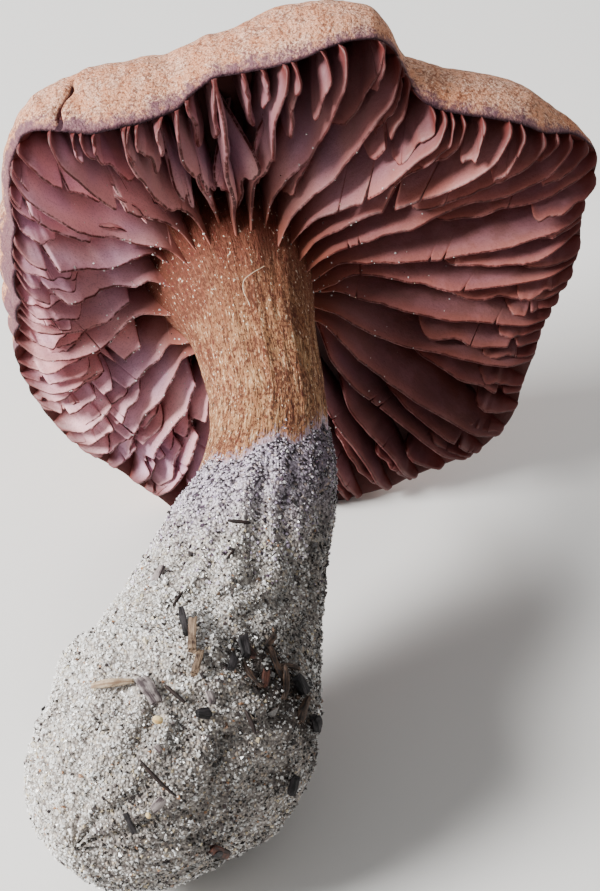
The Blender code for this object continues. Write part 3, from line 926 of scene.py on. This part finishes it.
def gill_finish(look):
    gill = Finish("gill_flesh", look.face)
    where = gill.here()
    across_it, along_it, own = (gill.part(gill.marks("gill"), axis) for axis in range(3))
    to_right = gill.part(where, 0).clamp(-0.012, 0.014)
    on_blade = across_it.clamp(-1, 0)
    fine = gill.noise(where, 0.0005, 4, 0.65)
    mid = gill.noise(where, 0.0030, 3)
    broad = gill.noise(where, 0.009, 2)
    grit = gill.noise(where, 0.00022, 2, 0.7)
    gill.paint(broad.clamp(0.35, 0.65), srgb(204, 162, 186))
    gill.paint(own.clamp(0.4, 1.0) * 0.4, srgb(220, 152, 142))
    # Painted shade: the gills on the right of the cap, away from the light, are painted darker and redder.
    shaded_right_face = gill.blend(mid.clamp(0.4, 0.6), look.shade, srgb(114, 62, 54))
    gill.paint(to_right * 0.85, shaded_right_face)
    warm_edge = across_it.clamp(0.78, 1.0) * (0.15 + fine * 0.35 + to_right * 0.2)
    gill.paint(warm_edge, srgb(176, 98, 82))
    # Partly the gills' own rust and partly painted shade: they are painted redder and darker towards their
    # roots, most on the right.
    rust_and_root_shade = ((1 - across_it.clamp(0.0, 0.8)) * 0.9 + (mid - 0.5) * 0.9).clamp(0.15, 0.95)
    root = gill.blend(to_right, srgb(160, 92, 92), look.root)
    gill.paint(rust_and_root_shade * 0.9, root)
    # Painted shade: the gills are painted near black deep between them, at their roots.
    gill.paint((1 - across_it.clamp(0.0, 0.45)) * 0.8, srgb(60, 24, 24))
    gill.paint(grit.clamp(0.5, 0.68) * 0.28, srgb(96, 50, 52))
    height_up = gill.part(where, 2)
    # Painted shade: the gills on the right and low down, as the mushroom lies, are painted darker.
    gill.paint(to_right * (1 - height_up.clamp(0.008, 0.034)) * 0.6, srgb(60, 26, 26))
    # Painted shade: the gills highest up, under the rolled margin, are painted darker.
    gill.paint(height_up.clamp(0.040, 0.058) * 0.72, srgb(96, 50, 50))
    near_stem = 1 - along_it.clamp(0.02, 0.28)
    gill.paint(near_stem * 0.9, srgb(134, 72, 52))
    near_rim = (along_it + (fine - 0.5) * 0.04).clamp(0.84, 0.97)
    gill.paint(near_rim * 0.9, srgb(92, 34, 30))
    # Painted shade: the face between the gills is painted dark.
    gill.paint((1 - on_blade) * 0.85, srgb(74, 30, 26))
    dash = fine * 0.7 + mid * 0.5
    band = (across_it + (fine - 0.5) * 0.02).clamp(0.978, 0.994)
    fade = along_it.clamp(0.02, 0.12)
    gill.paint(band * dash.clamp(0.5, 0.62, 0.5, 1.0) * fade, look.edge)
    gill.paint(fine.clamp(0.6, 0.8) * 0.35, srgb(120, 60, 54))
    height = fine * 0.7 + mid * 0.6
    return gill.finish(0.5, height, 0.00009, Specular_IOR_Level=0.4)


# Stem

STEM_COLUMNS = 230
STEM_ROWS = 170
FOOT_ROWS = 12
FIBRE_RADIUS = 0.0065
HAIR_RADIUS = 0.00005
HAIR_SPOTS = ((1.44, -79), (1.48, -84), (1.53, -91), (1.60, -98), (1.72, -100), (1.84, -98), (1.92, -97))


class STEM_OT_dress(bpy.types.Operator):
    """Builds the fibrous stem, whole to its foot under the sand"""
    bl_idname = "laccaria.stem"
    bl_label = "Stem"

    def execute(self, context):
        look = context.scene.laccaria_stem
        turns = all_round(STEM_COLUMNS)
        spots = (np.linspace(0, 4.3, STEM_ROWS), np.linspace(4.5, FOOT_END, FOOT_ROWS))
        spots = np.concatenate(spots)[:, None]
        points, out = stem_skin(spots, turns, STEM_RADII)
        angle = np.radians(turns)
        straight = vectors(FIBRE_RADIUS * np.cos(angle), FIBRE_RADIUS * np.sin(angle), spots * STEM_STEP)
        drawn = straight * (1, 1, 0.12)
        ridge = look.ridge * (ripple(drawn, 0.0011, 31) + 0.7 * ripple(drawn, 0.0005, 32))
        scurf = np.clip(ripple(straight * (1, 1, 0.6), 0.00075, 33) - 0.25, 0, 1) * 0.14 * MM
        swell = 0.15 * MM * ripple(straight, 0.006, 34)
        pleats = 0.45 * MM * np.cos(angle * MAIN_GILLS) * (1 - smooth(spots / 1.1))
        points = points + out * (ridge + scurf + swell + pleats + stem_flare(spots, turns))[..., None]
        sandy = (spots - coat_edge(turns)) * STEM_STEP
        piece = add_rings("stem_skin", points, {"straight": straight, "sandy": sandy})
        hand_over(piece, stem_finish(look), "stem", "stem")
        add_hair()
        return {"FINISHED"}


def add_hair():
    """One pale hair that clings to the upper stem."""
    t, turn = spline(HAIR_SPOTS, np.linspace(0, len(HAIR_SPOTS) - 1, 40)).T
    centres, out = stem_skin(t, turn, STEM_RADII, 0.0005 + stem_flare(t, turn))
    side = unit(np.cross(np.gradient(centres, axis=0), out))
    corner = np.linspace(0, 2 * math.pi, 6, endpoint=False)[None, :, None]
    rings = centres[:, None] + HAIR_RADIUS * (side[:, None] * np.cos(corner) + out[:, None] * np.sin(corner))
    piece = add_rings("hair", rings, {"flat": rings})
    hand_over(piece, litter_finish("hair", srgb(226, 204, 176), srgb(170, 136, 108), 0.0003), "stem")


def stem_finish(look):
    stem = Finish("stem_fibre", look.flesh)
    where = stem.marks("straight")
    run = stem.part(where, 2)
    sandy = stem.mark("sandy")
    fibres = stem.noise(stem.stretched(where, (1, 1, 0.16)), 0.00022, 3, 0.7)
    streaks = stem.noise(stem.stretched(where, (1, 1, 0.20)), 0.0008, 3)
    specks = stem.noise(stem.stretched(where, (1, 1, 0.7)), 0.00028, 3, 0.6)
    spots = stem.cells(stem.stretched(where, (1, 1, 0.7)), 0.0008)
    patches = stem.noise(where, 0.0035, 2)
    top = 1 - run.clamp(0.006, 0.023)
    low = run.clamp(0.014, 0.028)
    stem.paint(streaks.clamp(0.38, 0.62) * 0.8, srgb(150, 98, 66))
    stem.paint(patches.clamp(0.45, 0.65) * 0.5, srgb(140, 84, 60))
    stem.paint(fibres.clamp(0.56, 0.66) * 0.6, srgb(250, 216, 174))
    stem.paint((1 - fibres).clamp(0.53, 0.62) * (0.55 + low * 0.4), srgb(54, 32, 22))
    stem.paint(top * 0.95, look.blush)
    scurf = (specks + (patches - 0.5) * 0.3 + top * 0.04).clamp(0.54, 0.58)
    stem.paint(scurf * 0.85, look.scurf)
    stem.paint((1 - spots.clamp(0.16, 0.28)) * patches.clamp(0.3, 0.55) * 0.8, srgb(88, 34, 24))
    stem.paint((1 - specks).clamp(0.64, 0.70) * 0.8, srgb(255, 240, 214))
    stain = (sandy + (specks - 0.5) * 0.005 + (fibres - 0.5) * 0.004).clamp(-0.0006, 0.0008)
    stem.paint(stain * 0.7, srgb(196, 176, 196))
    height = fibres * 0.9 + specks * 0.6
    return stem.finish(0.75, height, 0.00028, Specular_IOR_Level=0.3)


# Sand

GRAIN_SHAPES = 12
GRAIN_TINTS = (
    (0.36, (252, 252, 250)), (0.16, (214, 210, 206)), (0.12, (160, 154, 150)), (0.05, (226, 208, 172)),
    (0.02, (170, 126, 92)), (0.27, (22, 17, 20)), (0.12, (80, 70, 72)),
)
PALE_TINTS = (
    (0.54, (254, 254, 253)), (0.24, (228, 226, 222)), (0.08, (190, 186, 180)), (0.05, (232, 220, 192)),
    (0.015, (176, 130, 96)), (0.055, (32, 26, 28)), (0.05, (120, 110, 108)),
)
TOP_TINTS = (
    (0.40, (250, 242, 255)), (0.16, (208, 192, 220)), (0.31, (26, 16, 30)), (0.13, (96, 76, 98)),
)
SOIL_TINTS = ((0.5, (30, 24, 24)), (0.3, (58, 42, 34)), (0.2, (90, 68, 52)))
# Patches of soil: spot along and turn round the stem, how long and wide, and how thick
SOIL_SPOTS = (
    (6.55, -54, 0.5, 24, 1.0), (6.3, -4, 1.6, 18, 0.6),
    (7.0, -30, 0.5, 16, 0.45), (5.1, -38, 0.5, 12, 0.45),
)
FURROW_STRETCH = (1, 0.7, 0.3)
FURROW_COUNT = 16
FURROW_DEPTH = (0.1, 0.6)
FOOT_TUCK = 0.0008
COAT_COLUMNS = 200
COAT_ROWS = 150
SOIL_WIDTH = 0.32 * MM
STRAY_WIDTH = 0.17 * MM
# Pieces that grains strayed onto, how many did, and how far from the stem's top
STRAYS = (("gills_full", 420, 0.024), ("stem_skin", 330, 0.030))
GRAIN_FACES = np.array((
    (0, 2, 4), (2, 1, 4), (1, 3, 4), (3, 0, 4), (2, 0, 5), (1, 2, 5), (3, 1, 5), (0, 3, 5),
))


def grain_shapes():
    """Small faceted lumps with six corners, as worn quartz grains are."""
    draw = np.random.default_rng(5)
    corners = np.array(((1, 0, 0), (-1, 0, 0), (0, 1, 0), (0, -1, 0), (0, 0, 1), (0, 0, -1)), float)
    shapes = corners[None] * draw.uniform(0.75, 1.3, (GRAIN_SHAPES, 6, 1))
    return shapes + draw.uniform(-0.35, 0.35, shapes.shape)


def random_turns(draw, count):
    """Random rotations, as matrices."""
    w, x, y, z = unit(draw.normal(size=(count, 4))).T
    return np.stack((1 - 2 * (y * y + z * z), 2 * (x * y - z * w), 2 * (x * z + y * w),
                     2 * (x * y + z * w), 1 - 2 * (x * x + z * z), 2 * (y * z - x * w),
                     2 * (x * z - y * w), 2 * (y * z + x * w), 1 - 2 * (x * x + y * y)), -1).reshape(-1, 3, 3)


def add_grains(name, centres, sizes, tints, material, seed, stretch=(1, 1, 1), laid=False):
    """A piece of many grains, each a turned lump with its own tint."""
    draw = np.random.default_rng(seed)
    count = len(centres)
    shapes = grain_shapes()[draw.integers(0, GRAIN_SHAPES, count)] * stretch
    turned = np.einsum("nij,nkj->nki", random_turns(draw, count), shapes) * (sizes / 2)[:, None, None]
    points = centres[:, None, :] + turned
    points = points.reshape(-1, 3) if laid else lay_down(points)
    faces = (GRAIN_FACES[None] + 6 * np.arange(count)[:, None, None]).reshape(-1, 3)
    piece = add_mesh(name, points, faces, {"tint": np.repeat(tints, 6, axis=0)}, sharp=True)
    hand_over(piece, material, "sand_coat")


def coat_edge(turn):
    """Where the sand coat begins along the stem, by the turn round it."""
    angle = np.radians(turn)
    round_it = vectors(np.cos(angle), np.sin(angle), 0) * 0.007
    ragged = 0.10 * ripple(round_it, 0.0030, 51) + 0.05 * ripple(round_it, 0.0009, 52)
    return COAT_TOP + COAT_SLANT * np.cos(angle - math.radians(COAT_LOW_SIDE)) + ragged


def furrows(points, turn):
    """Ridges above 0 and hollows below it, that wander down the coat."""
    waves = np.cos(np.radians(turn * FURROW_COUNT) + 5 * ripple(points, 0.006, 43))
    return 0.45 * waves + 0.7 * ripple(points * FURROW_STRETCH, 0.0021, 43)


def coat_lumps(points, turn):
    """How far the crust's lumps and furrows stand out. The furrows are deepest at the front's right."""
    deep = mix(*FURROW_DEPTH, smooth(0.45 + 0.6 * np.cos(np.radians(turn + 50)))) * MM
    lumps = 0.30 * MM * ripple(points, 0.0034, 41) + 0.16 * MM * ripple(points, 0.0012, 42)
    return lumps + deep * furrows(points, turn)


def coat_surface(t, turn):
    """Points on the crust and the ways out of it. It starts inside the stem's skin, and thickens."""
    base, out = stem_skin(t, turn, STEM_RADII)
    full, _ = stem_skin(t, turn, COAT_RADII)
    along_it = t - coat_edge(turn)
    depth = np.linalg.norm(full - base, axis=-1) * smooth(along_it / 0.7 + 0.12)
    lift = np.where(along_it > 0, depth - 0.00015 * (1 - smooth(along_it * 5)), -0.0001)
    lift = lift - FOOT_TUCK * smooth((t - 7.7) / 1.0)
    return base + out * (lift + coat_lumps(base, turn) * smooth(along_it * 1.6))[..., None], out


def coat_spots(draw, count, chance):
    """Random spots over the coat, as t and turn, thinned by a chance that depends on both."""
    last = len(STEM_LINE)
    t = draw.uniform(COAT_TOP - COAT_SLANT - 0.7, last, count * 6)
    turn = draw.uniform(0, 360, count * 6)
    girth = spline(COAT_RADII, np.minimum(t, last - 1)) / max(COAT_RADII)
    girth = girth * np.cos(np.maximum(t - last + 1, 0) * math.pi / 2) * np.where(t > last - 1, 1.9, 1)
    keep = np.flatnonzero(draw.uniform(0, 1.9, count * 6) < girth * chance(t, turn))[:count]
    return t[keep], turn[keep]


def soil_patch(t, turn):
    """Where dark soil clings, from 0 to 1: a patch that faces up, and the coat's right side."""
    total = 0
    for at, facing, high, wide, most in SOIL_SPOTS:
        off = ((np.asarray(turn) - facing + 180) % 360 - 180) / wide
        total = total + most * np.exp(-(off**2) - ((np.asarray(t) - at) / high) ** 2)
    return np.clip(total, 0, 1)


def pale_lit_side(turn):
    """1 on the coat's left and back, where few dark grains cling and the light falls, and 0 on its right,
    which is painted darker as shade.
    """
    return smooth(0.55 + 0.75 * np.cos(np.radians(turn) - math.radians(200)))


def resting_places(draw, name, count, reach):
    """Random spots on the side of a piece that faces up and forward, as it lies, and the ways out there."""
    mesh = bpy.data.objects[name].data
    places = np.empty(len(mesh.vertices) * 3, np.float32)
    outs = np.empty_like(places)
    mesh.vertices.foreach_get("co", places)
    mesh.vertices.foreach_get("normal", outs)
    places = places.reshape(-1, 3)
    outs = outs.reshape(-1, 3)
    near = np.linalg.norm(places - LAID_AT, axis=1) < reach
    chance = np.clip(outs @ (-0.1, -0.75, 0.6) - 0.25, 0, 1) * near
    chosen = draw.choice(len(places), count, replace=False, p=chance / chance.sum())
    return places[chosen], outs[chosen]


class SAND_OT_dress(bpy.types.Operator):
    """Builds the crust round the foot and scatters sand grains and dark soil over it"""
    bl_idname = "laccaria.sand"
    bl_label = "Sand"

    def execute(self, context):
        look = context.scene.laccaria_sand
        add_crust(look)
        material = grain_finish()
        draw = np.random.default_rng(61)
        add_sand(look, draw, material)
        add_soil(look, draw, material)
        add_strays(draw, material)
        return {"FINISHED"}


def add_crust(look):
    """The crust round the foot, with the furrows and dark patches that the grains follow."""
    turns = all_round(COAT_COLUMNS)
    shares = np.linspace(0, 1, COAT_ROWS)[:, None]
    top = coat_edge(turns)
    spots = mix(top, FOOT_END, shares)
    skin, _ = coat_surface(spots, turns)
    inner, _ = stem_skin(mix(top, FOOT_END, shares[::-10]), turns, STEM_RADII, -0.0002)
    bare = 0 * inner[..., 0]
    run = np.concatenate((bare, (spots - top) * STEM_STEP))
    soil = np.concatenate((bare, soil_patch(spots, turns)))
    # The pale mark sets the crust's paler left and its painted shade on the right.
    marks = {"run": run, "soil": soil, "pale": pale_lit_side(turns) + 0 * run}
    crust = add_rings("sand_crust", np.concatenate((inner, skin)), marks)
    hand_over(crust, crust_finish(look), "sand_coat", "sand_coat")


def add_sand(look, draw, material):
    """Single grains over the crust: pale on its left and back, mottled on its right, violet at its edge, and
    painted darker as shade in the furrows and on the right.
    """
    t, turn = coat_spots(
        draw, look.count, lambda t, a: np.clip((t - coat_edge(a) + 0.22) / 0.3, 0, 1) ** 2)
    count = len(t)
    from_edge = t - coat_edge(turn)
    pale = pale_lit_side(turn)
    place, out = coat_surface(t, turn)
    sizes = look.grain * np.exp(draw.normal(0, 0.28, count)) * mix(0.7, 1, smooth(from_edge / 1.6))
    place = place + out * (sizes * draw.uniform(-0.2, 0.3, count))[:, None]
    mottle = 0.3 * ripple(place, 0.004, 62)
    kind = np.where(draw.random(count) < pale + mottle, 1, 0)
    kind = np.where(draw.random(count) > smooth(from_edge / 2.3), 2, kind)
    kinds = (GRAIN_TINTS, PALE_TINTS, TOP_TINTS)
    tints = np.choose(kind[:, None], [grain_tints(draw, count, tints) for tints in kinds])
    # Painted shade: grains in the furrows' hollows, on the coat's right and high on its right are painted
    # darker.
    hollow = np.clip(-2.2 * furrows(place, turn) - 0.1, 0, 1) * (1 - pale)
    shady = (1 - pale) * (1 - smooth(from_edge / 3.4))
    tints = tints * ((1 - 0.8 * hollow) * mix(0.82, 1, pale))[:, None]
    tints = tints * mix(1, 0.3, soil_patch(t, turn) * draw.random(count))[:, None]
    tints = tints * mix(1, 0.35, shady * draw.random(count))[:, None]
    for k in range(2):
        half = slice(k, None, 2)
        add_grains(f"sand_grains_{k + 1}", place[half], sizes[half], tints[half], material, 70 + k)


def add_soil(look, draw, material):
    """Flat dark bits of soil, thick in patches and thin elsewhere."""
    t, turn = coat_spots(
        draw, look.soil, lambda t, a: 0.10 * smooth((t - coat_edge(a)) * 3) + soil_patch(t, a))
    place, out = coat_surface(t, turn)
    sizes = SOIL_WIDTH * np.exp(draw.normal(0, 0.45, len(t))) * (1 + 0.8 * soil_patch(t, turn))
    place = place + out * (sizes * 0.1)[:, None]
    tints = grain_tints(draw, len(t), SOIL_TINTS)
    add_grains("soil_bits", place, sizes, tints, material, 75, stretch=(1, 0.6, 0.45))


def add_strays(draw, material):
    """Pale grains that strayed onto the gills and the stem."""
    for i, (name, count, reach) in enumerate(STRAYS):
        place, out = resting_places(draw, name, count, reach)
        sizes = STRAY_WIDTH * np.exp(draw.normal(0, 0.3, count))
        tints = grain_tints(draw, count, PALE_TINTS)
        place = place + out * sizes[:, None] * 0.2
        add_grains(f"stray_grains_{i + 1}", place, sizes, tints, material, 77 + i, laid=True)


def grain_tints(draw, count, kinds):
    """A colour for each grain, drawn from the kinds of grain."""
    colours = np.array([srgb(*colour) for _, colour in kinds])
    odds = np.array([share for share, _ in kinds])
    chosen = colours[draw.choice(len(colours), count, p=odds / odds.sum())]
    return np.clip(chosen * draw.uniform(0.75, 1.1, (count, 1)), 0, 1)


def crust_finish(look):
    crust = Finish("sand_crust", look.bed)
    where = crust.here()
    run, soil, pale = crust.mark("run"), crust.mark("soil"), crust.mark("pale")
    cells = crust.cells(where, 0.00030)
    own = crust.cell_draw(where, 0.00030)
    fine = crust.noise(where, 0.0003, 3, 0.7)
    mid = crust.noise(where, 0.0022, 3)
    # Painted shade: the crust is painted darker, most on its right, away from the light.
    shaded_right = 0.12 + 0.88 * (1 - pale)
    crust.paint(own.clamp(0.2, 0.9), srgb(222, 216, 208))
    crust.paint(shaded_right * 0.55, srgb(96, 88, 84))
    upper = 1 - run.clamp(0.003, 0.013)
    # The violet edge is painted dimmer on the right, as painted shade.
    violet = crust.blend(pale, srgb(120, 104, 124), look.violet)
    crust.paint(upper * 0.85, violet)
    crust.paint((1 - own).clamp(0.62, 0.66) * (0.25 + upper * 0.7), srgb(28, 20, 28))
    crust.paint((own - 0.9).clamp(0, 0.02) * 0.4, srgb(188, 160, 124))
    # Painted shade: the gaps between the crust's grains are painted darker.
    crust.paint(cells.clamp(0.45, 0.75) * 0.6, srgb(80, 70, 70))
    dark = (soil + (mid - 0.5) * 1.1).clamp(0.35, 0.75)
    crust.paint(dark * 0.9, srgb(48, 38, 34))
    height = fine * 0.4 + (1 - cells) * 1.0
    return crust.finish(0.8, height, 0.00025, Specular_IOR_Level=0.35)


def grain_finish():
    grain = Finish("sand_grain")
    grain.colour = grain.marks("tint")
    shade = grain.noise(grain.here(), 0.00012, 2)
    grain.paint(shade.clamp(0.4, 0.7) * 0.25, srgb(110, 98, 90))
    return grain.finish(0.2, Specular_IOR_Level=0.8)


# Plant litter

SCRAP_RINGS = 24
SCRAP_SIDES = 16


def scrap_points(t, turn, heading, curl, length, width, thickness, square):
    """Rings of points round a bit of litter on the coat, the same points laid straight, and its heading."""
    lift = GAP + thickness / 2
    centre, out = stem_skin(t, turn, COAT_RADII, lift)
    aside = stem_skin(t, turn + 0.5, COAT_RADII, lift)[0] - stem_skin(t, turn - 0.5, COAT_RADII, lift)[0]
    down = np.cross(aside, out)
    down *= np.sign(down[2]) * -1
    aim = math.radians(heading)
    ahead = unit(aside) * math.cos(aim) + unit(down) * math.sin(aim)
    side = np.cross(ahead, out)
    girth = float(spline(COAT_RADII, min(t, len(STEM_LINE) - 1)))
    drop = math.cos(aim) ** 2 if t < len(STEM_LINE) - 1.5 else 1
    corners = np.linspace(0, 2 * math.pi, SCRAP_SIDES, endpoint=False)[:, None]
    box = (np.abs(np.cos(corners)) ** 8 + np.abs(np.sin(corners)) ** 8) ** (-1 / 8)
    bulge = mix(1, box, square)
    wide, high = np.cos(corners) * width, np.sin(corners) * thickness
    steps = np.linspace(-1, 1, SCRAP_RINGS)
    rings = []
    for u in steps:
        reach = length / 2 * u
        spot = centre + ahead * reach - out * reach**2 / (2 * girth) * drop
        spot = spot + side * math.tan(math.radians(curl)) * length / 4 * (1 - u * u)
        swell = math.sqrt(1 - mix(0.85, 0.1, square) * u * u)
        rings.append(spot + (side * wide + out * high) * bulge * swell / 2)
    return np.array(rings), vectors(steps[:, None] * length / 2, wide.T / 2, high.T / 2), ahead


# Two colours, the size of the grain, how square the bit is, how wide for its solid, how splintered, how lumpy
LITTER_LOOKS = {
    "needle": (srgb(40, 27, 24), srgb(14, 10, 10), 0.0005, 0.1, 0.6, 0.0, 0.7),
    "bark": (srgb(150, 140, 138), srgb(70, 60, 62), 0.0004, 0.6, 1.0, 0.25, 1),
    "wood": (srgb(140, 118, 98), srgb(58, 42, 34), 0.0003, 0.8, 0.9, 0.3, 1),
    "husk": (srgb(88, 68, 56), srgb(24, 17, 15), 0.0003, 0.5, 1.0, 0.2, 2),
    "leaf": (srgb(88, 52, 42), srgb(36, 23, 20), 0.0006, 0.6, 1.0, 0.5, 0.7),
    "root": (srgb(200, 180, 154), srgb(138, 112, 90), 0.0004, 0.2, 0.8, 0.1, 1),
    "seed": (srgb(226, 206, 156), srgb(180, 146, 96), 0.0005, 0.0, 1.0, 0.0, 0.5),
    "charcoal": (srgb(44, 40, 42), srgb(8, 8, 9), 0.0004, 0.7, 0.9, 0.2, 1.7),
}
LITTER_SLOTS = {"needle": "dark_bark", "bark": "pale_bark", "wood": "wood", "root": "root", "seed": "root",
                "charcoal": "charcoal", "husk": "dark_bark", "leaf": "dark_bark"}


class LITTER_OT_dress(bpy.types.Operator):
    """Builds the needles, bark, wood, root, seed and charcoal on the sand"""
    bl_idname = "laccaria.litter"
    bl_label = "Plant litter"

    def execute(self, context):
        finishes = {kind: litter_finish(kind, *look[:3]) for kind, look in LITTER_LOOKS.items()}
        for i, (name, (*spot, width, thick)) in enumerate({**SCRAPS, **SMALL_SCRAPS}.items()):
            kind = name.split("_")[0]
            square, wide, splinter, lumpy = LITTER_LOOKS[kind][3:]
            rings, flat, ahead = scrap_points(*spot, width * wide, thick, square)
            centre = rings.mean(axis=1, keepdims=True)
            chips = ripple(rings, 0.0009, 80 + i) * 0.18 + ripple(flat * (0.15, 1, 1), 0.00022, 90 + i) * 0.16
            rings = centre + (rings - centre) * (1 + lumpy * chips)[..., None]
            ends = np.linspace(-1, 1, len(rings))[:, None] ** 9
            torn = ripple(flat * (0.05, 1, 1), 0.0003, 120 + i) * ends * splinter * MM
            rings = rings + torn[..., None] * ahead
            nodes = (name,) if name in SCRAPS else ()
            piece = add_rings(f"{name}_bit", rings, {"flat": flat}, sharp=square > 0.5)
            hand_over(piece, finishes[kind], LITTER_SLOTS[kind], *nodes)
        return {"FINISHED"}


def litter_finish(kind, light, dark, size):
    bit = Finish(f"litter_{kind}", light)
    where = bit.stretched(bit.marks("flat"), (0.12, 1, 1))
    grain = bit.noise(where, size, 4, 0.65)
    mottle = bit.noise(bit.here(), 0.0009, 3)
    bit.paint((grain + (mottle - 0.5) * 0.5).clamp(0.38, 0.62), dark)
    return bit.finish(0.7, grain + mottle * 0.3, 0.00015, Specular_IOR_Level=0.3)


# Stage

FLOOR_REACH = 3.0
LIGHT_AIM = (0, 0, 0.03)


class STAGE_OT_set(bpy.types.Operator):
    """Sets the floor, the soft light and the camera"""
    bl_idname = "laccaria.stage"
    bl_label = "Stage"

    def execute(self, context):
        look = context.scene.laccaria_stage
        scene = context.scene
        add_floor(look)
        add_light("key", (-0.60, -0.20, 0.42), 0.28, look.key, (1.0, 0.985, 0.96))
        add_light("rim", (-0.10, 0.55, 0.45), 0.30, look.key * 0.10, (0.96, 0.98, 1.0))
        world = bpy.data.worlds.new("soft_room")
        scene.world = world
        world.use_nodes = True
        background = world.node_tree.nodes["Background"]
        background.inputs["Color"].default_value = (1.0, 0.99, 0.98, 1)
        background.inputs["Strength"].default_value = look.fill
        scene.camera = add_camera()
        return {"FINISHED"}


def add_floor(look):
    mesh = bpy.data.meshes.new("floor")
    corners = [(x * FLOOR_REACH, y * FLOOR_REACH, 0) for x, y in ((-1, -1), (1, -1), (1, 1), (-1, 1))]
    mesh.from_pydata(corners, [], [(0, 1, 2, 3)])
    floor = bpy.data.objects.new("floor", mesh)
    bpy.context.scene.collection.objects.link(floor)
    mesh.materials.append(Finish("floor_paper", look.floor).finish(0.9))


def add_light(name, place, size, power, colour):
    """A large soft square light aimed at the object."""
    light = bpy.data.lights.new(name, "AREA")
    light.shape = "SQUARE"
    light.size = size
    light.energy = power
    light.color = colour
    lamp = bpy.data.objects.new(name, light)
    bpy.context.scene.collection.objects.link(lamp)
    aim = Vector(LIGHT_AIM) - Vector(place)
    lamp.matrix_world = Matrix.Translation(place) @ aim.to_track_quat("-Z", "Y").to_matrix().to_4x4()


def add_camera():
    """The camera at the photograph's angle, with the stem's top on the photograph's pixel of it."""
    data = bpy.data.cameras.new("camera")
    data.sensor_fit = "AUTO"
    data.sensor_width = 36
    data.lens = LENS_PX * data.sensor_width / max(IMAGE_SIZE)
    data.clip_start = 0.01
    camera = bpy.data.objects.new("camera", data)
    bpy.context.scene.collection.objects.link(camera)
    back = Vector((math.sin(CAMERA_AZIMUTH) * math.cos(CAMERA_ELEVATION),
                   -math.cos(CAMERA_AZIMUTH) * math.cos(CAMERA_ELEVATION), math.sin(CAMERA_ELEVATION)))
    level = Vector((0, 0, 1)).cross(back).normalized()
    upright = back.cross(level)
    right = level * math.cos(CAMERA_ROLL) + upright * math.sin(CAMERA_ROLL)
    up = back.cross(right)
    x = (STEM_TOP_PX[0] - IMAGE_SIZE[0] / 2) / LENS_PX
    y = (IMAGE_SIZE[1] / 2 - STEM_TOP_PX[1]) / LENS_PX
    ray = (right * x + up * y - back).normalized()
    turn = Matrix((right, up, back)).transposed().to_4x4()
    camera.matrix_world = Matrix.Translation(Vector(LAID_AT) - ray * CAMERA_DISTANCE) @ turn
    return camera


class LACCARIA_PT_pieces(bpy.types.Panel):
    bl_label = "Sandy laccaria"
    bl_idname = "LACCARIA_PT_pieces"
    bl_space_type = "VIEW_3D"
    bl_region_type = "UI"
    bl_category = "Laccaria"

    def draw(self, context):
        for operator in OPERATORS:
            self.layout.operator(operator.bl_idname)
        for name, settings in SETTINGS.items():
            box = self.layout.box()
            box.label(text=name.capitalize())
            for field in settings.__annotations__:
                box.prop(getattr(context.scene, f"laccaria_{name}"), field)


SETTINGS = {"cap": CapSettings, "gills": GillSettings, "stem": StemSettings, "sand": SandSettings,
            "stage": StageSettings}
OPERATORS = (CAP_OT_dress, GILLS_OT_dress, STEM_OT_dress, SAND_OT_dress, LITTER_OT_dress, STAGE_OT_set)
CLASSES = (*SETTINGS.values(), *OPERATORS, LACCARIA_PT_pieces)


def register():
    for cls in CLASSES:
        bpy.utils.register_class(cls)
    for name, settings in SETTINGS.items():
        setattr(bpy.types.Scene, f"laccaria_{name}", bpy.props.PointerProperty(type=settings))


def unregister():
    for name in SETTINGS:
        delattr(bpy.types.Scene, f"laccaria_{name}")
    for cls in reversed(CLASSES):
        bpy.utils.unregister_class(cls)


def main():
    register()
    bpy.ops.laccaria.cap()
    bpy.ops.laccaria.gills()
    bpy.ops.laccaria.stem()
    bpy.ops.laccaria.sand()
    bpy.ops.laccaria.litter()
    bpy.ops.laccaria.stage()


if __name__ == "__main__":
    main()
